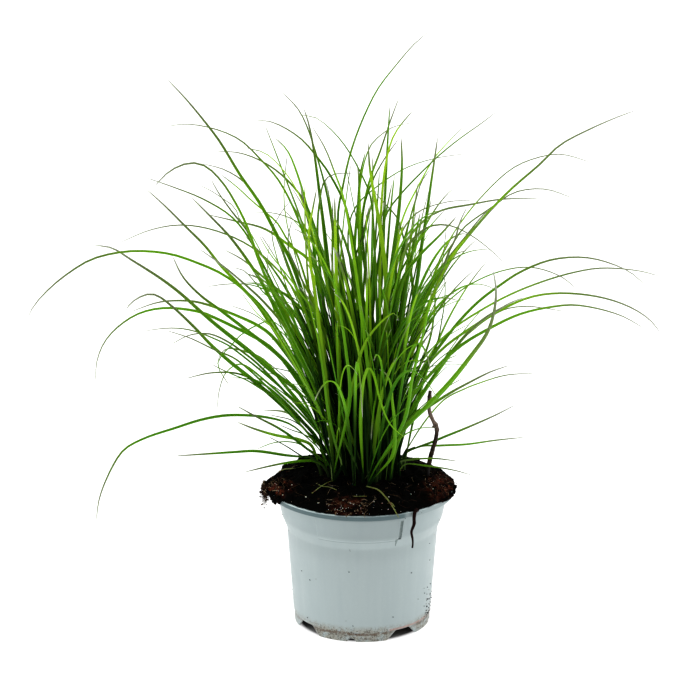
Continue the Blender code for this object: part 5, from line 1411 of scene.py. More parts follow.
# %% Shoots at the right
RIGHT_SHOOTS = [
    [(60, 3.8, 45, 378, 255, 385, 215, 399, 195, 425, 168, 440, 154, 460, 138, 480, 124, 500, 109),
     (150, 3.8, 40, 396, 250, 404, 215, 417, 188, 434, 158, 447, 143, 465, 125)],
    [(-60, 4.6, 35, 415, 290, 421, 248, 426, 218, 430, 190, 434, 163, 438, 135),
     (-30, 4.4, 50, 436, 290, 450, 250, 455, 240, 460, 222, 468, 205)],
    [(-40, 3.8, 55, 425, 300, 445, 265, 455, 252, 485, 216, 510, 190, 540, 164, 560, 145, 590, 129, 620,
      116, 640, 109),
     (10, 3.8, 50, 425, 292, 445, 262, 465, 237, 485, 213, 503, 200)],
    [(120, 3.0, 35, 438, 260, 460, 222, 485, 192, 512, 168, 535, 158, 560, 154, 593, 163),
     (80, 3.2, 40, 435, 272, 455, 240, 463, 228, 490, 208, 515, 192, 545, 189, 575, 199)],
    [(180, 3.8, 30, 390, 290, 402, 247, 422, 221, 440, 210, 470, 204, 500, 199, 543, 198),
     (140, 2.4, 25, 395, 250, 415, 214, 445, 202, 475, 200)],
    [(-100, 4.2, 30, 396, 290, 405, 250, 412, 240, 430, 226, 450, 225, 470, 234, 490, 249, 510, 268),
     (-90, 4.6, 50, 394, 310, 405, 275, 420, 255, 440, 235, 458, 215)],
    [(-60, 3.8, 50, 415, 382, 430, 358, 440, 345, 460, 320, 480, 300, 500, 285, 520, 272, 550, 260, 578,
      257, 600, 260, 630, 272, 647, 287),
     (-70, 4.0, 60, 450, 355, 480, 322, 503, 307, 512, 302, 525, 297)],
    [(None, 3.6, 45, 430, 352, 450, 330, 480, 310, 510, 294, 540, 282, 570, 273, 600, 268, 640, 271, 662,
      277),
     (110, 2.6, 35, 412, 350, 430, 320, 450, 299, 470, 284, 500, 271, 530, 267, 560, 276, 578, 290)],
    [(20, 4.0, 50, 420, 375, 440, 350, 470, 328, 500, 310, 530, 297, 560, 293, 600, 297, 630, 307, 650, 320,
      662, 335),
     (60, 2.8, 30, 450, 352, 475, 328, 485, 320, 505, 309, 525, 306, 545, 308, 568, 312)],
    [(-110, 4.0, 50, 410, 400, 430, 374, 460, 346, 490, 328, 520, 314, 550, 307, 577, 305, 620, 315, 647,
      330),
     (-40, 4.2, 50, 412, 417, 430, 406, 450, 393, 470, 382, 490, 372, 510, 365)],
    [(-130, 4.6, 60, 400, 435, 410, 422, 430, 403, 450, 382, 470, 357, 487, 333, 494, 312, 496, 290, 493,
      269)],
    [(40, 2.6, 35, 440, 402, 465, 388, 478, 383, 505, 375, 535, 373),
     (120, 3.0, 40, 420, 390, 438, 366, 445, 362, 455, 361)],
    [(20, 4.0, 45, 405, 453, 435, 440, 465, 428, 495, 415, 515, 405),
     (70, 3.6, 40, 402, 457, 420, 446, 440, 445, 465, 444, 495, 440, 525, 437)],
    [(-15, 3.2, 30, 398, 462, 410, 459, 435, 458, 458, 461),
     (-45, 2.6, 30, 405, 464, 425, 465, 455, 470, 472, 475)],
]
print(len(RIGHT_SHOOTS), "shoots at the right")

# %% Shoots in front
FRONT_SHOOTS = [
    [(-62, 5.2, 10, 338, 420, 345, 405, 352, 393, 362, 381, 371, 369, 376, 368, 378, 378, 376, 395, 373,
      415, 371, 440)],
    [(-100, 4.8, 20, 346, 420, 350, 395, 355, 375, 362, 350, 370, 335, 388, 316, 395, 313, 399, 321)],
    [(-150, 4.4, 10, 360, 430, 361, 400, 364, 378, 369, 367, 374, 376, 380, 400, 390, 424, 405, 438)],
    [(-90, 4.8, 10, 392, 455, 394, 420, 392, 400, 391, 385, 386, 374, 379, 369),
     (-120, 5.0, 20, 405, 420, 412, 380, 424, 330, 432, 290)],
    [(-70, 5.0, 20, 341, 465, 337, 450, 332, 430, 328, 410, 323, 370, 316, 330, 305, 290),
     (-130, 4.6, 15, 350, 400, 346, 350, 336, 290, 330, 250)],
]
print(len(FRONT_SHOOTS), "shoots in front")

# %% All the shoots
FOLLOWED = {"left": LEFT_SHOOTS, "top": TOP_SHOOTS, "right": RIGHT_SHOOTS, "front": FRONT_SHOOTS}
TRACED = {f"shoot_{side}_{number:02d}": [blade(*row) for row in shoot]
          for side, shoots in FOLLOWED.items() for number, shoot in enumerate(shoots, 1)}
# Shoots that the viewer can't follow, which fill the front and the back, each with its blades' bearings
HIDDEN = {
    "shoot_back_01": (178, 194), "shoot_back_02": (156, 168), "shoot_back_03": (202, 214),
    "shoot_back_04": (138, 150), "shoot_back_05": (170, 186), "shoot_front_06": (2, -14),
    "shoot_front_07": (22, 34), "shoot_front_08": (12, -8),
}
FULL_REACH = {"shoot_back_01": REACH_FRONT, "shoot_front_06": -REACH_FRONT}
print(len(TRACED), "followed shoots and", len(HIDDEN), "hidden ones")

# %% Sizes for the clump
SHEATH_SIDES = 5
SHEATH_RADIUS = 2.9 * MM
SHEATH_LENGTH = 17 * MM
BLADE_START = 1.2 * MM
BLADE_ASIDE = 0.9 * MM
BLADE_CLEARANCE = 0.45 * MM
FEWEST_SEGMENTS = 5
MOST_SEGMENTS = 9
BEND_PER_SEGMENT = 30
DEPTH_BEND = 1.15
DEPTH_STEP = 9 * MM
DEPTH_TRIES = 15
GOLDEN_ANGLE = math.radians(137.508)
CELL_COUNT = 62
FEET_TRIED = 18
SEED = 5
# Arches: the limits of their length, and of their lean and droop in degrees
HIDDEN_ARCH = ((0.22, 0.37), (10, 28), (75, 125))
COMPANION_ARCH = ((0.20, 0.37), (3, 18), (28, 85))
ARCH_WIDTHS = (3.2 * MM, 4.8 * MM)
ARCH_TRIES = 14
ARCH_BEND = 1.6
MOST_SWAY = 0.1
MOST_TURN = 50
BEARING_SPREAD = 7
COMPANION_SPREAD = 35
MOST_BLADES = 3
DENSE_TOP = 335
DENSE_FALL = 1.7
DENSE_LEAST = 0.2


# %% Routes
def traced_route(base, pixels, tip_at):
    """A route from the base through the pixels. Its depth runs from the base's to the tip's, as a power of
    the share of the way that the viewer sees."""
    path = np.vstack((pixel_of(base), pixels))
    share = np.concatenate(([0], np.cumsum(np.linalg.norm(np.diff(path, axis=0), axis=1))))
    share /= share[-1]
    depths = base[1] + (tip_at - base[1]) * share**DEPTH_BEND
    points = np.vstack((base, seen(pixels, depths[1:])))
    chord = points[1] - points[0]
    start = chord / np.linalg.norm(chord) + 0.5 * UP
    return smooth(points, start / np.linalg.norm(start))


def arch_route(base, bearing, length, lean, droop, sway):
    """A route that leaves at a lean from upright and bends over until it ends at a droop, both in degrees:
    its steps are the sines and cosines of that angle, added up. Sway carries it sideways, as the square of
    the share of its length."""
    share = np.linspace(0, 1, 25)
    angle = np.radians(lean + (droop - lean) * share**ARCH_BEND)
    step = length / (len(share) - 1)
    out = np.cumsum(np.sin(angle)) * step
    up = np.cumsum(np.cos(angle)) * step
    way = heading(bearing)
    side = np.cross(way, UP)
    points = base + out[:, None] * way + up[:, None] * UP + (sway * length * share**2)[:, None] * side
    return np.vstack((base, points[1:]))


def set_in_sheath(curve, order):
    """Starts a shoot's blades at places of their own inside its sheath, a golden angle apart."""
    along = np.linspace(0, 1, len(curve))
    turn = order * GOLDEN_ANGLE
    aside = np.array((math.cos(turn), math.sin(turn), order / 3)) * BLADE_ASIDE
    return curve + aside * ((1 - along) ** 3)[:, None]


# %% The solids' blades, which say how much room a blade needs
def bend_of(curve):
    """How far the curve turns in all, in degrees."""
    ways = unit(np.diff(spaced(curve, 24), axis=0))
    return np.degrees(np.arccos(np.clip((ways[:-1] * ways[1:]).sum(axis=1), -1, 1))).sum()


def blade_solid(curve, width, turn, spare=0.0):
    """The three-sided solid of a blade: two edges and the keel below them, grown all round by the spare."""
    wanted = FEWEST_SEGMENTS - 1 + bend_of(curve) / BEND_PER_SEGMENT
    count = int(np.clip(round(wanted), FEWEST_SEGMENTS, MOST_SEGMENTS))
    spine = spaced(curve, count + 1)
    ways = unit(np.gradient(spine, axis=0))
    side, face = blade_sides(spine, turn)
    half = blade_width(np.linspace(0, 1, count + 1), width)[:, None] / 2 + spare
    keel = half * 2 * KEEL_SHARE + spare
    rings = np.stack((spine + side * half + face * spare, spine - side * half + face * spare,
                      spine - face * keel), axis=1)[:-1]
    rings[0] += ways[0] * BLADE_START
    points = np.vstack((rings.reshape(-1, 3), spine[-1] + ways[-1] * spare))
    last, tip = 3 * (count - 1), 3 * count
    tips = [(last + i, tip, last + (i + 1) % 3) for i in range(3)]
    return points, [(0, 1, 2), *map(tuple, ring_faces(count, 3)[:, [0, 3, 2, 1]].tolist()), *tips]


def sheath_solid(base, way):
    """The short stout foot of a shoot, level below and square to its lean above."""
    turns = np.arange(SHEATH_SIDES) * 2 * np.pi / SHEATH_SIDES
    ring = np.column_stack((np.cos(turns), np.sin(turns), 0 * turns))
    low = base + SHEATH_RADIUS * ring
    high = base + SHEATH_LENGTH * way + 0.72 * SHEATH_RADIUS * (ring - (ring @ way)[:, None] * way)
    count = SHEATH_SIDES
    sides = [(i, (i + 1) % count, count + (i + 1) % count, count + i) for i in range(count)]
    return np.vstack((low, high)), [tuple(range(count))[::-1], *sides, tuple(range(count, 2 * count))]


def tree_of(points, faces):
    """A search tree of a mesh's triangles, which finds where it meets another."""
    fans = [(face[0], face[i], face[i + 1]) for face in faces for i in range(1, len(face) - 1)]
    return BVHTree.FromPolygons([tuple(p) for p in points], fans)


# %% The clump
class Clump:
    """The blades placed so far, the free places on the crown, and the test that keeps shoots apart."""

    def __init__(self, nodes):
        self.cells = list(crown_cells())
        self.feet = {}
        self.blades = {}
        self.trees = [(name, tree_of_mesh(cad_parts[name].data)) for name in nodes]

    def free(self, shoot, points, faces):
        """Whether a solid is clear of everything but its own shoot."""
        tree = tree_of(points, faces)
        return not any(tree.overlap(other) for owner, other in self.trees if owner != shoot)

    def has_room(self, shoot, curve, width, turn):
        """Whether a blade on this route is clear of the other shoots and the single pieces."""
        return self.free(shoot, *blade_solid(curve, width, turn, BLADE_CLEARANCE))

    def near_cells(self, wanted):
        """The free places nearest to where a foot is wanted."""
        return sorted(self.cells, key=lambda cell: np.linalg.norm(cell[:2] - wanted))[:FEET_TRIED]

    def settle(self, shoot, foot, blades):
        """Fixes a shoot's foot and its first blades."""
        self.cells = [cell for cell in self.cells if cell is not foot]
        self.feet[shoot] = foot
        self.blades[shoot] = []
        self.trees.append((shoot, tree_of(*sheath_solid(foot, sheath_way(blades[0][0])))))
        for item in blades:
            self.add(shoot, item)

    def add(self, shoot, item):
        """Gives a shoot one more blade."""
        self.blades[shoot].append(item)
        self.trees.append((shoot, tree_of(*blade_solid(*item))))


# %% Feet and sheaths
def crown_cells():
    """Places for the shoots' feet, spread over the crown as seeds are in a sunflower: each a golden angle
    further round, at a radius that grows as the square root of its number."""
    order = np.arange(CELL_COUNT)
    radius = (CROWN_RADIUS - 1.5 * SHEATH_RADIUS) * np.sqrt((order + 0.5) / CELL_COUNT)
    turns = order * GOLDEN_ANGLE
    level = np.full(CELL_COUNT, CROWN_HEIGHT + GAP)
    return np.column_stack((radius * np.cos(turns), radius * np.sin(turns), level))


def sheath_way(curve):
    """The direction that a shoot's sheath takes: its first blade's over the sheath's length."""
    along = np.linalg.norm(curve - curve[0], axis=1)
    way = curve[np.argmax(along > SHEATH_LENGTH)] - curve[0]
    return way / np.linalg.norm(way)


# %% Where a followed shoot's tips and foot go
def tip_depth(traced):
    """The place of a blade's tip along Y."""
    if traced["depth"] is not None:
        return traced["depth"]
    pixel = traced["pixels"][-1]
    side = REACH_SIDE if pixel[0] > CROWN_PIXEL[0] else -REACH_SIDE
    return depth_where(pixel, side)


def lowness(name):
    """How low a traced shoot leaves the clump, from 0 for upright to 1 for level."""
    away = TRACED[name][0]["pixels"][0] - CROWN_PIXEL
    return abs(away[0]) / np.linalg.norm(away)


def wanted_foot(name):
    """Where on the crown a traced shoot would stand: towards its tip, and the further the lower it leaves."""
    lead = TRACED[name][0]
    tip = seen(lead["pixels"][-1:], [tip_depth(lead)])[0][:2]
    return tip / np.linalg.norm(tip) * CROWN_RADIUS * lowness(name)


# %% Place the blades that can be followed
def fit_traced(clump, name, foot, order, traced):
    """The blade on its route, moved in depth along the line of sight as far as it takes to find room."""
    for attempt in range(1 if traced["depth"] is None else DEPTH_TRIES):
        shift = (attempt + 1) // 2 * (DEPTH_STEP if attempt % 2 else -DEPTH_STEP)
        curve = set_in_sheath(traced_route(foot, traced["pixels"], tip_depth(traced) + shift), order)
        item = (curve, traced["width"], traced["turn"])
        if clump.has_room(name, *item):
            return [item]
    return []


def place_traced(clump):
    """Places the traced shoots, low ones first, each on the nearest place where all its blades have room."""
    for name in sorted(TRACED, key=lowness, reverse=True):
        best = (None, [])
        for foot in clump.near_cells(wanted_foot(name)):
            if not clump.free(name, *sheath_solid(foot, UP)):
                continue
            blades = []
            for order, traced in enumerate(TRACED[name]):
                blades += fit_traced(clump, name, foot, order, traced)
            if len(blades) > len(best[1]):
                best = (foot, blades)
            if len(blades) == len(TRACED[name]):
                break
        clump.settle(name, *best)


# %% Place the arches
def in_outline(curve, top=DENSE_TOP):
    """Whether the viewer would see this route inside the dense part of the clump, whose edge is a height
    above the crown times a power of how steeply a pixel lies from it."""
    away = pixel_of(curve) - CROWN_PIXEL
    distance = np.linalg.norm(away, axis=1)
    steepness = np.clip(-away[:, 1] / np.maximum(distance, 1), 0, 1)
    return bool((distance < top * np.maximum(steepness**DENSE_FALL, DENSE_LEAST)).all())


def fit_arch(clump, name, order, bearing, random, ranges, foot, reach=None):
    """An arch about this bearing with random measures in the given ranges. Where a reach is given, its tip
    is exactly that far from the pot's axis along Y."""
    for _ in range(ARCH_TRIES):
        towards = bearing + random.normal(0, BEARING_SPREAD)
        measures = [random.uniform(*limits) for limits in ranges]
        curve = arch_route(foot, towards, *measures, random.uniform(-MOST_SWAY, MOST_SWAY))
        if reach is not None:
            curve[:, 1] = foot[1] + (curve[:, 1] - foot[1]) * (reach - foot[1]) / (curve[-1, 1] - foot[1])
        turn = random.uniform(-MOST_TURN, MOST_TURN)
        item = (set_in_sheath(curve, order), random.uniform(*ARCH_WIDTHS), turn)
        if np.abs(curve[:, 1]).max() <= REACH_FRONT and in_outline(curve) and clump.has_room(name, *item):
            return [item]
    return []


# %% Place the hidden shoots and the companions
def place_hidden(clump, random):
    """Places the arches that fill the front and the back. One on each side has the clump's full reach."""
    for name, bearings in HIDDEN.items():
        wanted = heading(np.mean(bearings))[:2] * CROWN_RADIUS * 0.7
        for foot in clump.near_cells(wanted):
            if not clump.free(name, *sheath_solid(foot, UP)):
                continue
            blades = []
            for order, bearing in enumerate(bearings):
                reach = FULL_REACH.get(name) if order == 0 else None
                blades += fit_arch(clump, name, order, bearing, random, HIDDEN_ARCH, foot, reach)
            if len(blades) == len(bearings):
                clump.settle(name, foot, blades)
                break


def place_companions(clump, random):
    """Gives each shoot more blades of its own, leaning as it leans, where there is room for them."""
    for wanted in range(2, MOST_BLADES + 1):
        for name, foot in clump.feet.items():
            if len(clump.blades[name]) < wanted:
                tip = clump.blades[name][0][0][-1]
                bearing = math.degrees(math.atan2(tip[0] - foot[0], foot[1] - tip[1]))
                bearing += random.normal(0, COMPANION_SPREAD)
                for item in fit_arch(clump, name, wanted - 1, bearing, random, COMPANION_ARCH, foot):
                    clump.add(name, item)


# %% Make the clump
clump = Clump(("pot", "peat", "twig", "root_fibre", "laid_blade"))
random = np.random.default_rng(SEED)
place_traced(clump)
place_hidden(clump, random)
place_companions(clump, random)
print(sum(len(blades) for blades in clump.blades.values()), "blades in", len(clump.blades), "shoots")


# %% How well the routes agree with the solids
def solid_box(name):
    """The box of a shoot's solid, worked out here from its sheath and blades."""
    blades = clump.blades[name]
    parts = [sheath_solid(clump.feet[name], sheath_way(blades[0][0]))[0]]
    points = np.vstack(parts + [blade_solid(*item)[0] for item in blades])
    return np.array((points.min(axis=0), points.max(axis=0)))


differences = {name: np.abs(solid_box(name) - np.array(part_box(name))).max() / MM for name in clump.blades}
furthest = max(differences, key=differences.get)
print("furthest from its solid:", furthest, round(differences[furthest], 3), "mm")
assert set(clump.blades) == {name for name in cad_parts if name.startswith("shoot")}

# %% [markdown]
# ## More blades than the solids have
# The clump is much fuller than its solids, which stand for its main blades. Finer ones that can be followed
# in the photo are read as before, and start from the shoot that they seem to grow from. Each shoot
# also gets arches with chance measures: low ones round its foot, fillers above them, tall ones in the middle
# and thin wisps. They are kept where the viewer would see them inside the clump's outline.

# %% Finer blades that can be followed
# Each row has a blade's width in millimetres, its turn in degrees, and the columns and rows of its pixels,
# from the clump to the tip
FINE = [
    (1.2, 20, 292, 245, 287, 225, 284, 200, 285, 175, 288, 150),
    (1.2, 20, 272, 232, 276, 222, 283, 210, 293, 198),
    (2.6, 20, 296, 275, 291, 262, 288, 243, 289, 232, 293, 218),
    (1.4, 40, 320, 245, 307, 230, 292, 219, 273, 213, 250, 212),
    (1.2, 10, 270, 300, 268, 277, 268, 256, 271, 238),
    (2.4, 40, 275, 302, 265, 294, 255, 282, 243, 270, 232, 268),
    (1.6, 40, 285, 302, 265, 290, 251, 285, 228, 284, 205, 287),
    (1.4, 40, 252, 236, 240, 220, 235, 208, 222, 198, 208, 189, 196, 184),
    (2.4, 40, 297, 255, 287, 240, 277, 223, 265, 212, 252, 201, 237, 187, 219, 173),
    (5.0, 20, 315, 315, 301, 293, 287, 274, 270, 253, 258, 233),
    (5.0, 10, 305, 310, 297, 290, 287, 265, 278, 239),
    (4.4, 30, 318, 310, 307, 290, 295, 265, 286, 244),
    (4.4, 15, 314, 290, 310, 262, 309, 231, 312, 213, 317, 187),
    (4.5, 10, 345, 310, 341, 276, 335, 248, 332, 224, 328, 200, 325, 178),
    (5.0, 20, 320, 300, 315, 262, 313, 241, 308, 220, 303, 199, 300, 184),
    (2.5, 20, 400, 262, 404, 240, 409, 222, 415, 203, 422, 181, 432, 167),
    (3.2, 30, 424, 322, 432, 300, 440, 279, 449, 262, 458, 247, 468, 236, 482, 220, 500, 202),
    (1.2, 20, 442, 262, 444, 246, 446, 229, 445, 213),
    (3.2, 20, 405, 325, 416, 300, 423, 285, 435, 267, 446, 248, 456, 229),
    (1.6, 30, 390, 270, 395, 260, 405, 255, 415, 257),
    (3.0, 30, 413, 310, 412, 280, 406, 250, 402, 232, 396, 216, 385, 204, 372, 189),
    (4.2, 15, 418, 330, 415, 300, 412, 276, 409, 253, 404, 240),
    (3.2, 15, 352, 285, 356, 255, 362, 237, 366, 220, 370, 203),
    (3.2, 20, 428, 345, 433, 322, 435, 297, 432, 277, 428, 266),
    (2.0, 20, 434, 352, 438, 339, 442, 318, 444, 306, 445, 284, 443, 270),
    (1.4, 40, 285, 336, 270, 326, 255, 315, 244, 310, 229, 305),
    (2.6, 30, 275, 332, 269, 324, 257, 313, 247, 300, 240, 290),
    (4.0, 35, 330, 355, 312, 331, 303, 323, 292, 314, 280, 302, 272, 292),
    (1.6, 20, 275, 322, 257, 326, 249, 330, 239, 337, 231, 346, 223, 354, 218, 362, 219, 369, 223, 376, 231,
     388),
    (2.2, 40, 285, 405, 262, 390, 246, 380, 234, 375, 223, 370, 211, 364),
    (1.2, 40, 262, 386, 248, 379, 238, 378, 228, 378),
    (1.4, 40, 305, 430, 291, 420, 280, 417, 270, 415),
    (1.4, 40, 315, 442, 303, 434, 292, 430, 280, 425),
    (1.2, 40, 303, 446, 290, 442, 273, 443, 257, 449),
    (1.2, 40, 318, 465, 303, 457, 286, 446, 269, 437),
    (5.0, 20, 325, 425, 312, 392, 307, 375, 298, 352, 287, 329, 279, 306, 272, 288, 262, 268, 255, 247, 249,
     228),
    (4.6, 20, 322, 430, 307, 392, 301, 369, 292, 346, 285, 325),
    (5.0, 15, 338, 400, 330, 369, 320, 330, 316, 300, 313, 280),
]

# %% Sizes for the blades that fill the clump
# Kinds of blade that can't be followed: how many are drawn for a shoot, the limits of their length, lean and
# droop, their widths, the spread of their bearing in degrees, and how high above the crown their outline may
# be, in pixels
FILLING = {
    "low": (7, ((0.07, 0.16), (2, 20), (5, 32)), (2.2 * MM, 4.4 * MM), 100, 190),
    "filler": (4, ((0.14, 0.28), (1, 18), (6, 60)), (1.6 * MM, 4.2 * MM), 70, 220),
    "tall": (4, ((0.26, 0.38), (1, 15), (5, 50)), (2.6 * MM, 5.4 * MM), 50, 315),
    "wisp": (3, ((0.1, 0.26), (4, 32), (40, 95)), (0.8 * MM, 1.4 * MM), 80, 310),
}
MOST_FILLING_SWAY = 0.2
FILLING_ASIDE = 3.5 * MM
FILLING_DRAWN_IN = np.array((0.82, 0.82, 1.0))
FILLING_SUNK = 1.5 * MM
MOST_FILLING_TURN = 70
FILLING_ROWS = 24
# The gap in the front of the clump, through which the viewer looks into its dark heart, in pixels
HEART = ((330, 368), (300, 478))
HEART_COVER = 0.2
HEART_FRONT = -8 * MM
FINE_DEPTH = 45 * MM
FINE_DEPTH_SHARE = 0.7
print(sum(count for count, *_ in FILLING.values()), "blades drawn for each shoot")


# %% Where a blade may stand
def covers_heart(curve):
    """Whether this route, in the front half of the clump, passes before the gap for a share of its length."""
    (left, right), (top, bottom) = HEART
    column, row = pixel_of(spaced(curve, 40)).T
    inside = (column > left) & (column < right) & (row > top) & (row < bottom)
    return bool(inside.mean() > HEART_COVER) and curve[0, 1] < HEART_FRONT


def host_of(pixels):
    """The shoot that a fine blade grows from: the one whose first blade the viewer sees nearest to where
    the fine blade can first be followed."""
    def distance(name):
        return np.linalg.norm(pixel_of(clump.blades[name][0][0]) - pixels[0], axis=1).min()
    return min(TRACED, key=distance)


# %% Place the finer blades
fine = {name: [] for name in clump.blades}
random = np.random.default_rng(SEED + 1)
for width, turn, *numbers in FINE:
    pixels = pairs(numbers)
    name = host_of(pixels)
    depth = clump.blades[name][0][0][-1][1] * FINE_DEPTH_SHARE + random.uniform(-FINE_DEPTH, FINE_DEPTH)
    curve = traced_route(clump.feet[name], pixels, depth)
    fine[name].append((set_in_sheath(curve, MOST_BLADES + len(fine[name])), width * MM, turn))
print(sum(map(len, fine.values())), "finer blades")


# %% Fill the clump
def fill_shoot(name, kind, count, arch, widths, spread, top):
    """Adds arches of one kind to a shoot. They start round its foot, a little nearer to the clump's middle,
    lean more or less as it leans and sway to either side. More of them are narrow than wide, because the
    width goes with the square of an even draw. Those past their kind's outline or before the gap are left
    out."""
    tip = clump.blades[name][0][0][-1]
    foot = clump.feet[name]
    lean = math.degrees(math.atan2(tip[0] - foot[0], foot[1] - tip[1]))
    for _ in range(count):
        start = foot * FILLING_DRAWN_IN + np.append(random.normal(0, FILLING_ASIDE, 2), -FILLING_SUNK)
        measures = [random.uniform(*limits) for limits in arch]
        sway = random.uniform(-MOST_FILLING_SWAY, MOST_FILLING_SWAY)
        curve = arch_route(start, lean + random.normal(0, spread), *measures, sway)
        width = widths[0] + np.ptp(widths) * random.uniform() ** 2
        if in_outline(curve, top) and not covers_heart(curve):
            turn = random.uniform(-MOST_FILLING_TURN, MOST_FILLING_TURN)
            filling[name].append((kind, (curve, width, turn, FILLING_ROWS)))


filling = {name: [] for name in clump.blades}
for name in clump.feet:
    for kind, measures in FILLING.items():
        fill_shoot(name, kind, *measures)
print(sum(map(len, filling.values())), "blades that fill the clump")

# %% [markdown]
# ### The grass's finish
# A blade is whitish at its sheath, then a strong green with fine veins along it, olive towards the end and
# light grey where it has dried. Every blade has its own shade of green. Painted shade makes blades low in the
# clump a deeper green and those that stand deep in the clump nearly black, and these are dull too. The
# numbers kept at the points say how far a point is from the foot, how dry it is, how much painted shade it
# gets and which blade it is on, and a little light passes through the leaf.

# %% The grass finish
leaf = new_finish("green_leaf", Specular_IOR_Level=0.09, Subsurface_Weight=0.12,
                  Subsurface_Scale=1.0 * MM, Subsurface_Radius=(0.6, 1.0, 0.25))
tint = kept("tint")
vein = noise(1.0, where=vector(times(kept("across"), 5.0), times(kept("reach"), 12.0), times(tint, 90.0)))
cloudy = noise(22.0, 2.0, where=vector(kept("reach"), times(tint, 60.0)))
tone = ramp(tint, (0.0, (0.035, 0.13, 0.003)), (0.35, (0.085, 0.27, 0.004)), (0.7, (0.17, 0.42, 0.006)),
            (1.0, (0.36, 0.6, 0.015)))
# Painted shade: a deeper green low in the clump, strongest below 200 mm and slight above 400 mm
tone = over(tone, (0.026, 0.2, 0.012), between(axis("Z"), 200 * MM, 400 * MM, 0.55, 0.05))
tone = over(tone, (0.34, 0.6, 0.02), between(vein, 0.4, 0.7, 0.0, 0.4))
tone = over(tone, (0.035, 0.14, 0.004), between(cloudy, 0.5, 0.8, 0.0, 0.35))
aged = ramp(kept("dry"), (0.0, (0.17, 0.3, 0.012)), (0.35, (0.14, 0.23, 0.045)),
            (0.7, (0.19, 0.22, 0.12)), (1.0, (0.46, 0.48, 0.42)))
tone = over(tone, aged, between(kept("dry"), 0.02, 0.35))
tone = over(tone, (0.5, 0.62, 0.28), kept("pale"))
# Painted shade: nearly black by how deep in shade each point stands
tone = over(tone, (0.0015, 0.014, 0.0015), kept("deep"))
dull = between(kept("deep"), 0.1, 0.6, 0.0, 0.4)
dress(tone, maths("ADD", between(vein, 0.3, 0.7, 0.4, 0.56), dull), vein, 0.1 * MM)

# %% Shade, dryness and shades of green
PALE_LENGTH = 22 * MM
PALE_SHARE = 0.35
PALE_LIMITS = (0.2, 0.8)
# Painted shade in the clump's heart: the radius of its bell curve, the heights over which it and the kinds'
# shade fade, and its darkness. The kinds' shade also fades outwards between the two shade radii
HEART_RADIUS = 40 * MM
HEART_HEIGHTS = (220 * MM, 460 * MM)
HEART_DARKNESS = 0.9
SHADE_RADII = (62 * MM, 105 * MM)
FOOT_SHARE = 0.5
FOOT_END = 0.4
FRONT_WIDTH_SHARE = 0.65
SEEN_SHARES = {"shoot_right_05": 1.6, "shoot_left_07": 0.8}
DRY_POWER = 1.2
# Each kind of blade: how much painted shade it gets from the others in a light and in a deep place, the share
# that stands deep, how much painted shade darkens its foot and how far up, from what share of its length it
# is dry, and its shades of green, which are partly painted light: the front ones lighter, the low ones darker
KINDS = {
    "sheath": ((0.5, 0.8), 0.5, (0.5, 30 * MM), (1.0, 1.1), (0.0, 0.8)),
    "traced": ((0.0, 0.1), 0.1, (0.4, 40 * MM), (0.42, 0.72), (0.3, 1.0)),
    "top": ((0.0, 0.6), 0.3, (0.9, 95 * MM), (0.72, 0.98), (0.1, 1.0)),
    "front": ((0.0, 0.0), 0.0, (0.4, 30 * MM), (0.85, 1.0), (0.5, 1.0)),
    "companion": ((0.05, 0.88), 0.4, (0.97, 95 * MM), (0.7, 0.98), (0.0, 1.0)),
    "fine": ((0.0, 0.5), 0.2, (0.9, 95 * MM), (0.7, 0.98), (0.2, 1.0)),
    "low": ((0.75, 0.97), 0.8, (0.95, 75 * MM), (0.9, 1.0), (0.0, 0.6)),
    "filler": ((0.05, 0.92), 0.5, (0.97, 100 * MM), (0.75, 1.0), (0.0, 1.0)),
    "tall": ((0.0, 0.88), 0.3, (0.97, 105 * MM), (0.8, 1.0), (0.1, 1.0)),
    "wisp": ((0.0, 0.3), 0.3, (0.6, 20 * MM), (0.85, 1.0), (0.2, 1.0)),
}
# A followed blade that leaves the clump steeper than this, sideways by length, is of the top ones' kind:
# as green as they are, and with their painted shade
STEEP = 0.3
print(len(KINDS), "kinds of blade")


# %% The values at a blade's points
def blade_values(kind, rings, random):
    """What the finish reads at each point of a blade: its place across, its distance from the foot, its own
    shade of green, how pale its foot is, which falls off with that distance, how dry it is, which rises from
    a share of the length that differs from blade to blade, and how deep in shade it is. Three causes darken
    it, and each leaves a share of the light: the clump's heart, a bell curve of the distance from the axis,
    the shade of its kind, light or deep by chance, and the dark foot, a bell curve along the blade. The first
    two fade upwards, and the second fades outwards too."""
    spine = rings.mean(axis=1)
    reach = np.concatenate(([0], np.cumsum(np.linalg.norm(np.diff(spine, axis=0), axis=1))))
    share = reach / reach[-1]
    shades, deep_share, (foot_darkness, foot_length), starts, tints = KINDS[kind]
    start = random.uniform(*starts)
    dry = np.clip((share - start) / max(1 - start, 0.02), 0, 1) ** DRY_POWER
    shade = shades[int(random.uniform() < deep_share)]
    # Painted shade: a companion or sheath in front of the gap is as dark as the heart
    if kind in ("companion", "sheath") and covers_heart(spine):
        shade = HEART_DARKNESS
    away = np.hypot(spine[:, 0], spine[:, 1])
    low = 1 - smoothstep(*HEART_HEIGHTS, spine[:, 2])
    inner = 1 - smoothstep(*SHADE_RADII, away)
    heart = np.exp(-((away / HEART_RADIUS) ** 2))
    foot = foot_darkness * np.exp(-(reach / foot_length) ** 2)
    pale = random.uniform(*PALE_LIMITS) if random.uniform() < PALE_SHARE else 0
    per_ring = {
        "reach": reach,
        "tint": np.full(len(reach), random.uniform(*tints)),
        "pale": pale * np.exp(-((reach / PALE_LENGTH) ** 1.5)),
        "dry": dry,
        "deep": 1 - (1 - HEART_DARKNESS * heart * low) * (1 - shade * low * inner) * (1 - foot * (pale == 0)),
    }
    values = {key: np.repeat(numbers, len(ACROSS)) for key, numbers in per_ring.items()}
    values["across"] = np.tile(ACROSS, len(reach))
    return values


# %% The forms in a shoot
SHEATH_ROWS = 16
SHEATH_FACING = 40
SHEATH_FLATNESS = 0.7


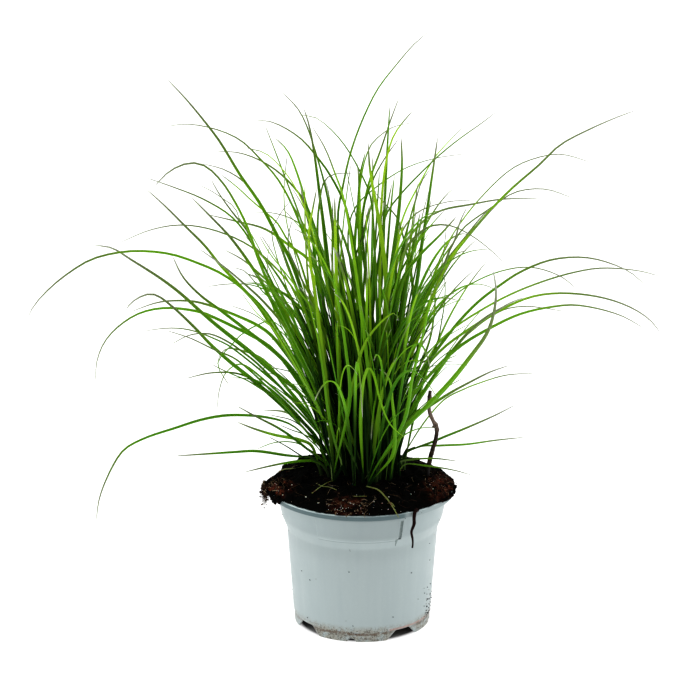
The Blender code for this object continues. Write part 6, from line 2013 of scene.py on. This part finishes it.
def sheath(foot, curve):
    """The sheath at a shoot's foot: a tube round the first blade's beginning, which starts a little inside
    the peat and narrows upwards in straight stretches."""
    along = np.linalg.norm(curve - curve[0], axis=1)
    stop = np.argmax(along > 1.5 * SHEATH_LENGTH)
    route = spaced(np.vstack((foot - 3 * MM * UP, curve[:stop])), SHEATH_ROWS)
    share = np.linspace(0, 1, SHEATH_ROWS)
    radius = np.interp(share, (0, 0.15, 0.8, 1), (0.55, 0.62, 0.4, 0.2)) * SHEATH_RADIUS
    ring = directions_round(route, len(ACROSS), SHEATH_FACING, SHEATH_FLATNESS)
    return spaced_rings(route[:, None] + ring * radius[:, None, None])


def spaced_rings(rings):
    """The rings brought to as many as a blade has, in a straight line between one ring and the next."""
    places = np.linspace(0, len(rings) - 1, BLADE_ROWS)
    low = np.minimum(places.astype(int), len(rings) - 2)
    part = (places - low)[:, None, None]
    return rings[low] * (1 - part) + rings[low + 1] * part


def narrow_foot(rings):
    """The rings with a blade's first part drawn in towards its middle line, as it leaves its sheath."""
    middle = rings.mean(axis=1, keepdims=True)
    share = FOOT_SHARE + (1 - FOOT_SHARE) * smoothstep(0, FOOT_END, np.linspace(0, 1, len(rings)))
    return middle + (rings - middle) * share[:, None, None]


# %% The long blades of a shoot
def followed_kind(name, curve):
    """Which kind a followed blade is: by its shoot's name, and otherwise by how steeply it goes up."""
    if "front" in name:
        return "front"
    chord = curve[-1] - curve[0]
    steep = abs(chord[0]) / np.linalg.norm(chord) < STEEP
    return "top" if steep or "top" in name else "traced"


def long_blades(name):
    """The blades of a shoot's solid and its finer ones, each with its kind. Those at the front are narrower
    than their solids, and those of two other shoots wider or narrower, by the share that the photo shows."""
    own = clump.blades[name]
    followed = len(TRACED.get(name, ()))
    share = FRONT_WIDTH_SHARE if "front" in name else SEEN_SHARES.get(name, 1)
    own = [(curve, width * share, turn) for curve, width, turn in own]
    kinds = [followed_kind(name, curve) for curve, _, _ in own[:followed]]
    kinds += ["companion"] * (len(own) - followed)
    return list(zip(kinds, own)) + [("fine", item) for item in fine[name]]


# %% Make the shoots
def make_shoot(name, random):
    """One shoot: its sheath, its long blades and those that fill the clump."""
    long = [("sheath", sheath(clump.feet[name], clump.blades[name][0][0]))]
    long += [(kind, narrow_foot(blade_rings(*item))) for kind, item in long_blades(name)]
    short = [(kind, narrow_foot(blade_rings(*item))) for kind, item in filling[name]]
    groups = [group for group in (long, short) if group]
    points, faces = together(*(blade_mesh(np.array([rings for _, rings in group])) for group in groups))
    kept_values = [blade_values(*form, random) for group in groups for form in group]
    values = {key: np.concatenate([one[key] for one in kept_values]) for key in kept_values[0]}
    hand_over(put_mesh(name.replace("shoot", "grass"), points, faces, leaf, 50, values), "grass", name)


for name in clump.blades:
    make_shoot(name, random)
